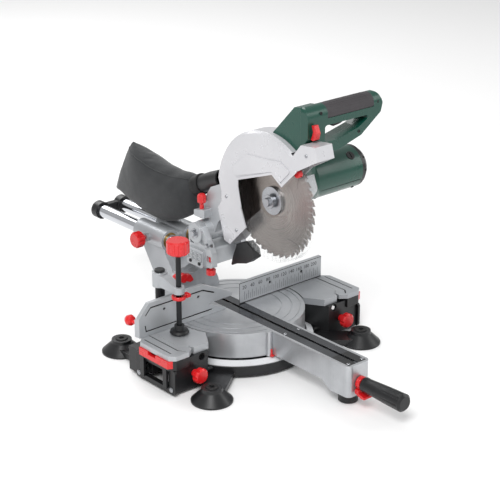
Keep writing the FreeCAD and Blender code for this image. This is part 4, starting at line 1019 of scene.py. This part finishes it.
@dataclass
class GrooveInlays(Detail):
    """The black bottoms of the grooves in the fence and the extensions."""

    width: float = 2.9 * MM
    rise: float = 0.35 * MM
    depth: float = 1.5

    def build(self) -> None:
        """Lay the inlays."""
        fence = bmesh.new()
        for path in (((-216, 22), (-214, 10), (-60, 10)), ((-215, 41), (-203, 54), (-82, 54), (-54, 42))):
            ribbon(fence, [table(x, self.depth, z) for x, z in path], Vector((0, -1, 0)), self.width,
                   self.rise)
        self.shop.fit("fence_inlays", fence, "left_fence", "black_plastic", "deep_black")
        for side, name in ((1, "extension_right"), (-1, "extension_left")):
            top = bmesh.new()
            for path in (((207, 5), (207, -82), (198, -93)), ((224, -6), (224, -84))):
                ribbon(top, [table(side * x, y, -self.depth) for x, y in path], UP,
                       self.width, self.rise)
            self.shop.fit(name + "_inlays", top, name, "black_plastic", "deep_black")


@dataclass
class TableScrews(Detail):
    """The countersunk screws of the slot plates and the bolts of the fences."""

    head: float = 3.4 * MM

    def build(self) -> None:
        """Fit the screws."""
        up = UP
        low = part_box("insert_strips")[0]
        front = (low[1] - FENCE_FACE) / MM
        spots = [(table(x, y, -0.35), up) for y in (front + 6, front + 170) for x in (-16.5, 16.5)]
        self.shop.screws("slot_plate_screws", socket_screw(4), spots, self.head, "turntable", "steel",
                         "plain_steel")
        holes = [(table(x, 3.2, 24.5), Vector((0, -1, 0))) for x in (85, 167)]
        self.shop.screws("right_fence_screws", socket_screw(), holes, 2.9 * MM, "base", "dark_iron",
                         "deep_black")
        left = [(table(x, 3.2, z), Vector((0, -1, 0))) for x, z in ((-172, 43), (-92.5, 44))]
        self.shop.screws("left_fence_screws", socket_screw(), left, 2.9 * MM, "left_fence", "dark_iron",
                         "deep_black")


@dataclass
class KerfFloor(Detail):
    """The black slot insert that shows at the front half of the slot plates."""

    width: float = 42.0
    length: float = 44.0

    def build(self) -> None:
        """Lay the two black ends of the slot plates."""
        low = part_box("insert_strips")[0]
        front = (low[1] - FENCE_FACE) / MM
        shape = bmesh.new()
        for side in (-1, 1):
            add_bar(shape, table(side * 12.2, front + self.length / 2, 0.0),
                    Vector((17.4 * MM, self.length * MM, 0.3 * MM)))
        self.shop.fit("slot_plate_ends", shape, "turntable", "black_plastic", "moulded_black")


# ------------------------------------------------------------------ head, guard and motor


@dataclass
class GuardTrim(Detail):
    """A raised lip on the upper guard's left face, and the guard's screws."""

    left: float = -25.0

    def build(self) -> None:
        """Fit the trim."""
        side = Vector((-1, 0, 0))
        lip = bmesh.new()
        inner = [(-43, 216), (-34, 254), (-34, 269), (-128, 303), (-153, 287), (-189, 322)]
        ribbon(lip, [table(self.left, y, z) for y, z in inner], side, 4.5 * MM, 1.6 * MM)
        self.shop.fit("guard_lip", lip, "head", "silver_paint", "guard_silver")
        spots = [(table(self.left, y, z), side) for y, z in ((-2, 226), (-30, 168), (-214, 356))]
        self.shop.screws("guard_screws", socket_screw(), spots, 3.2 * MM, "head", "steel", "plain_steel")


@dataclass
class MovingGuardRibs(Detail):
    """The ridges round the rim of the clear guard."""

    first: float = 140.0
    last: float = 312.0
    step: float = 6.0
    inner: float = 101.0
    outer: float = 112.0

    def build(self) -> None:
        """Fit the ridges."""
        centre = Vector(axis_centre("blade"))
        shape = bmesh.new()
        count = int((self.last - self.first) / self.step)
        for i in range(count + 1):
            turn = math.radians(self.first + i * self.step)
            away, aim = spoke(turn)
            middle = centre + away * (self.inner + self.outer) / 2 * MM + Vector((-10.2 * MM, 0, 0))
            add_bar(shape, middle, Vector((0.8 * MM, (self.outer - self.inner) * MM, 2.0 * MM)), aim)
        self.shop.fit("moving_guard_ribs", shape, "lower_guard", "clear_guard", "clear_guard")


@dataclass
class BladeDetail(Detail):
    """Carbide tips and the cut expansion lines of the blade."""

    teeth: int = 40

    def build(self) -> None:
        """Fit the tips."""
        centre = Vector(axis_centre("blade"))
        radius = (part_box("blade")[1][2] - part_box("blade")[0][2]) / 2
        shape = bmesh.new()
        for i in range(self.teeth):
            turn = -2 * math.pi * (i + 0.045) / self.teeth
            away, aim = spoke(turn)
            add_bar(shape, centre + away * (radius - 3.6 * MM), Vector((3.0 * MM, 5.6 * MM, 1.5 * MM)), aim)
        self.shop.fit("blade_tips", shape, "blade", "steel", "plain_steel")
        lines = bmesh.new()
        for i in range(4):
            start = math.pi / 4 + i * math.pi / 2
            for side in (-1, 1):
                path = [centre + Vector((side * 1.2 * MM, r * MM * math.cos(start + bend),
                                         r * MM * math.sin(start + bend)))
                        for r, bend in ((103, 0.0), (96, 0.0), (88, 0.05), (80, 0.13), (73, 0.24))]
                ribbon(lines, path, Vector((side, 0, 0)), 0.9 * MM, 0.05 * MM)
        self.shop.fit("blade_slots", lines, "blade", "steel", "deep_black")


@dataclass
class MotorTrim(Detail):
    """Seams, vents and screws of the motor's shell."""

    radius: float = 40.0
    slots: int = 5

    def build(self) -> None:
        """Fit the trim."""
        low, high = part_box("motor_housing")
        centre = Vector(axis_centre("armature"))
        shape = bmesh.new()
        for turn in (math.radians(204), math.radians(24)):
            away, aim = spoke(turn)
            middle = centre + away * (self.radius - 0.6) * MM
            middle.x = (low[0] + high[0]) / 2 + 6 * MM
            add_bar(shape, middle, Vector((high[0] - low[0] - 16 * MM, 1.6 * MM, 0.7 * MM)), aim)
        self.shop.fit("motor_seams", shape, "head", "black_plastic", "deep_black")
        vents = bmesh.new()
        for row in range(self.slots):
            turn = math.radians(-38 + row * 11)
            away, aim = spoke(turn)
            middle = centre + away * (self.radius - 0.8) * MM
            middle.x = high[0] - 20 * MM
            add_bar(vents, middle, Vector((22 * MM, 2.0 * MM, 2.6 * MM)), aim)
        self.shop.fit("motor_vents", vents, "head", "black_plastic", "deep_black")
        spots = []
        for x, degree in ((low[0] + 14 * MM, 236), (high[0] - 10 * MM, 236), (low[0] + 14 * MM, 60)):
            away = Vector((0, math.cos(math.radians(degree)), math.sin(math.radians(degree))))
            seat = centre + away * (self.radius - 0.9) * MM
            seat.x = x
            spots.append((seat, away))
        self.shop.screws("motor_screws", socket_screw(), spots, 3.2 * MM, "head", "steel", "deep_black")


@dataclass
class HandleTrim(Detail):
    """Screws and ribs of the D-handle."""

    ribs: int = 9

    def build(self) -> None:
        """Fit the trim."""
        low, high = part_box("handle_shells")
        front = Vector((0, -1, 0))
        face = (low[1] - FENCE_FACE) / MM
        spots = [(table(x, face + lift, z), front) for x, lift, z in
                 ((20, 0.6, 420), (16, 0.2, 368), (158, 1.5, 415), (112, 0.2, 370))]
        self.shop.screws("handle_screws", socket_screw(), spots, 3.0 * MM, "head", "steel", "deep_black")
        cover_low, cover_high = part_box("grip_cover")
        axis_y = (cover_low[1] + cover_high[1]) / 2
        radius = (cover_high[1] - cover_low[1]) / 2
        axis_z = cover_high[2] - radius
        shape = bmesh.new()
        for i in range(self.ribs):
            turn = math.radians(28 + i * 124 / (self.ribs - 1))
            away = Vector((0, math.cos(turn), math.sin(turn)))
            centre = Vector(((cover_low[0] + cover_high[0]) / 2, axis_y, axis_z))
            middle = centre + away * (radius - 0.35 * MM)
            size = Vector((cover_high[0] - cover_low[0] - 22 * MM, 1.2 * MM, 1.5 * MM))
            add_bar(shape, middle, size, Matrix.Rotation(turn, 4, "X"))
        self.shop.fit("grip_ribs", shape, "head", "grip_rubber", "grip_rubber")


@dataclass
class CarriageTrim(Detail):
    """The ribs, pivot nut and bolts on the carriage's left ear."""

    face: float = -52.0

    def build(self) -> None:
        """Fit the trim."""
        side = Vector((-1, 0, 0))
        pivot = table(self.face - 3, 55, 145)
        self.shop.screws("pivot_nut", hex_nut(), [(pivot, side)], 7.0 * MM, "carriage", "steel",
                         "plain_steel")
        self.shop.screws("stop_bolt", hex_nut(), [(table(self.face, 22, 128), side)], 4.5 * MM,
                         "carriage", "steel", "plain_steel")
        spots = [(table(self.face - 5, y, 88), side) for y in (40, 66)]
        self.shop.screws("rail_clamp_screws", socket_screw(), spots, 3.6 * MM, "carriage", "steel",
                         "dark_iron")
        ribs = bmesh.new()
        for y in (34.0, 47.0, 59.0, 72.0):
            add_bar(ribs, table(self.face - 5.9, y, 101), Vector((2.0 * MM, 2.2 * MM, 17.0 * MM)))
        for z in (93.6, 101.0, 108.6):
            add_bar(ribs, table(self.face - 5.9, 53, z), Vector((2.0 * MM, 40.0 * MM, 2.0 * MM)))
        self.shop.fit("carriage_ribs", ribs, "carriage", "silver_casting", "cast_silver")


@dataclass
class ClampTrim(Detail):
    """The quick release and the post's cap."""

    drop: float = 7.0 * MM

    def build(self) -> None:
        """Fit the trim."""
        release = bmesh.new()
        spindle = axis_centre("clamp_spindle")
        x, y = spindle[0], spindle[1]
        arm_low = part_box("clamp_arm")[0][2]
        base = Vector((x, y, arm_low - self.drop))
        ring = ((0, 10.4), (0, 12.6), (1, 13.4), (5.7, 13.4), (6.6, 12.6), (6.6, 10.4), (0, 10.4))
        add_lathe(release, base, UP, [(level * MM, radius * MM) for level, radius in ring],
                  28)
        add_bar(release, base + Vector((17 * MM, -2 * MM, 3.3 * MM)), Vector((9 * MM, 12 * MM, 6.2 * MM)))
        self.shop.fit("clamp_release", release, "clamp_arm", "red_plastic", "signal_red")
        cap = bmesh.new()
        post = axis_centre("clamp_post")
        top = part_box("clamp_post")[1][2]
        add_lathe(cap, Vector((post[0], post[1], top - 0.2 * MM)), UP,
                  [(0, 0), (0, 10 * MM), (2.2 * MM, 9.6 * MM), (3 * MM, 8.4 * MM), (3 * MM, 0)], 36)
        self.shop.fit("clamp_post_cap", cap, "clamp_post", "black_plastic", "moulded_black")


@dataclass
class FootPads(Detail):
    """Rubber rings and bench-bolt washers of the four outrigger feet."""

    spread_x: float = 185.0 * MM
    front: float = -134.0 * MM
    back: float = 134.0 * MM

    def build(self) -> None:
        """Fit the rings."""
        shape = bmesh.new()
        for x in (-self.spread_x, self.spread_x):
            for y in (self.front, self.back):
                add_lathe(shape, Vector((x, y, 25.6 * MM)), UP,
                          [(0, 5 * MM), (0, 12 * MM), (1.4 * MM, 12 * MM), (2.2 * MM, 11 * MM),
                           (2.2 * MM, 5 * MM), (0, 5 * MM)], 32)
        self.shop.fit("foot_washers", shape, "base", "black_plastic", "deep_black")


# ------------------------------------------------------------------ dust bag


NYLON = {"quality": 6, "mass": 0.25, "tension_stiffness": 12, "compression_stiffness": 12,
         "bending_stiffness": 0.4, "use_pressure": True, "uniform_pressure_force": 3.0,
         "vertex_group_mass": "held"}


@dataclass
class DustBag(Detail):
    """The nylon dust bag: a filled pouch on the spout, with piped seams."""

    axis_x: float = -6.0
    around: int = 44
    along: int = 34
    voxel: float = 5.0 * MM
    cap: float = 7.0 * MM
    frames: int = 18
    slack: float = 4.0 * MM
    held: float = 9.0 * MM
    fade: float = 14.0 * MM
    seam_steps: int = 40
    top: tuple = ((106, 233), (126, 237), (165, 236), (222, 240), (284, 252), (307, 259))
    bottom: tuple = ((96, 200), (100, 170), (128, 142), (192, 116), (268, 117), (372, 134))
    half_width: tuple = (19, 25, 31, 34, 29, 10)
    square: tuple = (2.0, 2.1, 2.3, 2.5, 2.5, 2.3)

    @staticmethod
    def smooth_at(values: tuple, share: float) -> float:
        """Read a run of numbers between its points, without corners.

        Args:
            values: the numbers at even steps.
            share: how far along, 0 to 1.

        Returns:
            The value there.
        """
        place = share * (len(values) - 1)
        i = min(int(place), len(values) - 2)
        t = place - i
        before, after = values[max(i - 1, 0)], values[min(i + 2, len(values) - 1)]
        a, b = values[i], values[i + 1]
        return 0.5 * (2 * a + (b - before) * t + (2 * before - 5 * a + 4 * b - after) * t ** 2
                      + (3 * a - before - 3 * b + after) * t ** 3)

    def section(self, share: float, turn: float, shrink: float = 0.0) -> Vector:
        """Find a point of the bag's skin.

        Args:
            share: how far from mouth to tail, 0 to 1.
            turn: angle round the section.
            shrink: millimetres that the section is drawn in.

        Returns:
            The point.
        """
        top = Vector([self.smooth_at(tuple(p[i] for p in self.top), share) for i in (0, 1)])
        bottom = Vector([self.smooth_at(tuple(p[i] for p in self.bottom), share) for i in (0, 1)])
        half = (top - bottom).length / 2 - shrink
        wide = self.smooth_at(self.half_width, share) - shrink
        power = 2 / self.smooth_at(self.square, share)
        across, upward = math.cos(turn), math.sin(turn)
        x = math.copysign(abs(across) ** power, across) * wide
        rise = math.copysign(abs(upward) ** power, upward) * half
        middle = (top + bottom) / 2 + (top - bottom).normalized() * rise
        return table(self.axis_x + x, middle.x, middle.y)

    def shell(self) -> Mesh:
        """Draw the closed skin.

        Returns:
            The mesh.
        """
        shape = bmesh.new()
        rings = []
        for i in range(self.along + 1):
            share = i / self.along
            rings.append([shape.verts.new(self.section(share, 2 * math.pi * j / self.around, 2.0))
                          for j in range(self.around)])
        for low, high in zip(rings, rings[1:]):
            for j in range(self.around):
                k = (j + 1) % self.around
                shape.faces.new((low[j], low[k], high[k], high[j]))
        for ring in (rings[0], rings[-1]):
            middle = sum((v.co for v in ring), Vector()) / len(ring)
            centre = shape.verts.new(middle)
            for j in range(self.around):
                shape.faces.new((ring[j], ring[(j + 1) % self.around], centre))
        return plain_mesh(shape, "bag_shell", smooth=True)

    def inflate(self, bag: bpy.types.Object) -> None:
        """Fill the bag and let its cloth wrinkle, then keep the result.

        Args:
            bag: the bag's object.
        """
        remesh = bag.modifiers.new("remesh", "REMESH")
        remesh.mode = "VOXEL"
        remesh.voxel_size = self.voxel
        self.keep_result(bag)
        start = [v.co.copy() for v in bag.data.vertices]
        mouth = self.section(0.0, 0.0).y + self.held
        group = bag.vertex_groups.new(name="held")
        for vertex in bag.data.vertices:
            near_mouth = max(0.0, 1.0 - (vertex.co.y - mouth) / self.fade)
            group.add([vertex.index], min(1.0, near_mouth), "REPLACE")
        cloth = bag.modifiers.new("cloth", "CLOTH")
        for name, value in NYLON.items():
            setattr(cloth.settings, name, value)
        cloth.settings.effector_weights.gravity = 0.0
        cloth.point_cache.frame_start, cloth.point_cache.frame_end = 1, self.frames
        scene = bpy.context.scene
        for step in range(1, self.frames + 1):
            scene.frame_set(step)
        self.keep_result(bag)
        scene.frame_set(1)
        for vertex, before in zip(bag.data.vertices, start):
            move = vertex.co - before
            if move.length > self.cap:
                vertex.co = before + move.normalized() * self.cap

    @staticmethod
    def keep_result(bag: bpy.types.Object) -> None:
        """Turn a modified mesh into a plain one.

        Args:
            bag: the object.
        """
        mesh = bpy.data.meshes.new_from_object(bag.evaluated_get(bpy.context.evaluated_depsgraph_get()))
        bag.modifiers.clear()
        bag.data = mesh

    def crease(self, bag: bpy.types.Object) -> None:
        """Press folds into the cloth, deepest near the mouth.

        Args:
            bag: the bag's object.
        """
        mouth = self.section(0.0, 0.0).y
        tail = self.section(1.0, -math.pi / 2).y
        normals = [v.normal.copy() for v in bag.data.vertices]
        for vertex, normal in zip(bag.data.vertices, normals):
            share = (vertex.co.y - mouth) / (tail - mouth)
            slant = Vector((vertex.co.x * 8, (vertex.co.y + vertex.co.z * 0.9) * 30, vertex.co.z * 9))
            fold = noise.noise(slant)
            broad = noise.noise(vertex.co * 11 + Vector((3, 1, 7)))
            depth = 1.6 * math.exp(-share * 1.6) + 0.5
            fine = noise.noise(vertex.co * 60) * 0.25
            held = min(1.0, max(0.0, share * 12))
            vertex.co += normal * (fold * depth + broad * 1.8 + fine - 0.6) * MM * held

    def keep_inside(self, bag: bpy.types.Object) -> None:
        """Keep the cloth within a little of the solid it stands for.

        Args:
            bag: the bag's object.
        """
        low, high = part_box("dust_bag")
        for vertex in bag.data.vertices:
            for axis in range(3):
                vertex.co[axis] = min(max(vertex.co[axis], low[axis] - self.slack),
                                      high[axis] + self.slack)

    def piping(self, bag: bpy.types.Object) -> None:
        """Sew the piped seams along the top, and fit the elastic collar.

        Args:
            bag: the finished bag, whose skin the seams lie on.
        """
        shape = bmesh.new()
        for side in (-1, 1):
            path = []
            for i in range(self.seam_steps + 1):
                near = self.section(0.14 + 0.84 * i / self.seam_steps, math.pi / 2 - side * 0.75)
                found, on_skin, normal, _ = bag.closest_point_on_mesh(near)
                path.append(on_skin + normal * 0.3 * MM if found else near)
            tube(shape, path, 0.9 * MM, 8)
        self.shop.fit("bag_piping", shape, "head", "bag_cloth", "bag_nylon", smooth=True)
        collar = bmesh.new()
        start, end = table(-6, 62, 236), table(-6, 104, 215)
        along = (end - start).normalized()
        add_lathe(collar, end - along * 19 * MM, along,
                  [(0, 17.2 * MM), (0, 19.4 * MM), (2 * MM, 20.4 * MM), (6 * MM, 19.6 * MM),
                   (10 * MM, 20.6 * MM), (16 * MM, 20.8 * MM), (22 * MM, 20.0 * MM)], 48)
        self.shop.fit("bag_collar", collar, "head", "bag_cloth", "deep_black", smooth=True)

    def build(self) -> None:
        """Make the bag."""
        bag = bpy.data.objects.new("dust_bag_cloth", self.shell())
        bpy.context.collection.objects.link(bag)
        self.inflate(bag)
        self.crease(bag)
        self.keep_inside(bag)
        smooth = bag.modifiers.new("smooth", "SUBSURF")
        smooth.levels = smooth.render_levels = 1
        self.keep_result(bag)
        for face in bag.data.polygons:
            face.use_smooth = True
        bag.data.materials.clear()
        bag.data.materials.append(self.shop.palette["bag_nylon"])
        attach(bag, "head")
        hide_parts("dust_bag")
        self.piping(bag)


def tube(shape: Shape, path: list[Vector], radius: float, sides: int) -> None:
    """Add a closed round tube along a path.

    Args:
        shape: the bmesh.
        path: the middle line.
        radius: the tube's radius.
        sides: how many faces go round.
    """
    rings = []
    upward = Vector((1, 0, 0))
    for i, point in enumerate(path):
        ahead = (path[min(i + 1, len(path) - 1)] - path[max(i - 1, 0)]).normalized()
        side = ahead.cross(upward).normalized()
        other = side.cross(ahead).normalized()
        rings.append([shape.verts.new(point + (side * math.cos(t) + other * math.sin(t)) * radius)
                      for t in (2 * math.pi * j / sides for j in range(sides))])
    for low, high in zip(rings, rings[1:]):
        for j in range(sides):
            shape.faces.new((low[j], low[(j + 1) % sides], high[(j + 1) % sides], high[j]))
    shape.faces.new(rings[0])
    shape.faces.new(rings[-1])


# ------------------------------------------------------------------ studio


@dataclass
class Studio:
    """Floor, soft lights and camera."""

    target: tuple = (0.0327, 0.0145, 0.1851)
    distance: float = 2.8273
    azimuth: float = -40.9
    elevation: float = 21.8
    lens: float = 108.0

    def floor(self) -> None:
        """Lay the pale floor."""
        shape = bmesh.new()
        bmesh.ops.create_grid(shape, x_segments=1, y_segments=1, size=12.0)
        mesh = plain_mesh(shape, "floor")
        plane = bpy.data.objects.new("floor", mesh)
        plane.location.z = -0.0005
        material, _, shader = blank_material("pale_floor")
        shader.inputs["Base Color"].default_value = (0.93, 0.93, 0.93, 1.0)
        shader.inputs["Roughness"].default_value = 0.9
        mesh.materials.append(material)
        bpy.context.collection.objects.link(plane)

    @staticmethod
    def lamp(name: str, place: tuple, aim: tuple, size: float, power: float) -> None:
        """Hang a soft square light.

        Args:
            name: its name.
            place: where it hangs.
            aim: what it points at.
            size: its side.
            power: its power in watts.
        """
        light = bpy.data.lights.new(name, "AREA")
        light.size = size
        light.energy = power
        holder = bpy.data.objects.new(name, light)
        holder.location = place
        holder.rotation_euler = (Vector(aim) - Vector(place)).to_track_quat("-Z", "Y").to_euler()
        bpy.context.collection.objects.link(holder)

    def build(self) -> None:
        """Set up floor, lights, world and camera."""
        self.floor()
        self.lamp("key", (-1.9, -1.5, 2.7), self.target, 1.6, 78)
        self.lamp("fill", (2.4, -1.6, 1.5), self.target, 1.6, 18)
        self.lamp("back", (0.4, 2.4, 2.2), self.target, 1.8, 42)
        world = bpy.data.worlds.new("studio_world")
        bpy.context.scene.world = world
        world.use_nodes = True
        world.node_tree.nodes["Background"].inputs[0].default_value = (1.0, 1.0, 1.0, 1.0)
        world.node_tree.nodes["Background"].inputs[1].default_value = 0.56
        bpy.context.scene.view_settings.view_transform = "Standard"
        camera = bpy.data.cameras.new("camera")
        camera.lens = self.lens
        camera.sensor_width = 36.0
        camera.clip_start, camera.clip_end = 0.1, 60.0
        holder = bpy.data.objects.new("camera", camera)
        turn, lift = math.radians(self.azimuth), math.radians(self.elevation)
        back = Vector((math.sin(turn) * math.cos(lift), -math.cos(turn) * math.cos(lift), math.sin(lift)))
        holder.location = Vector(self.target) + back * self.distance
        holder.rotation_euler = (-back).to_track_quat("-Z", "Y").to_euler()
        bpy.context.collection.objects.link(holder)
        bpy.context.scene.camera = holder


def main() -> None:
    """Build the looks of the saw."""
    logging.basicConfig(level=logging.INFO)
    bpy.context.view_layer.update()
    shop = Workshop(Palette(), Repeater())
    shop.palette.dress_frame()
    for detail in (FenceRule, MitreScale, PaintedGapShade, GrooveInlays, KerfFloor, TableScrews, FootPads,
                   GuardTrim, MovingGuardRibs, BladeDetail, MotorTrim, HandleTrim, CarriageTrim,
                   ClampTrim, DustBag):
        detail(shop).build()
    Studio().build()


if __name__ == "__main__":
    main()
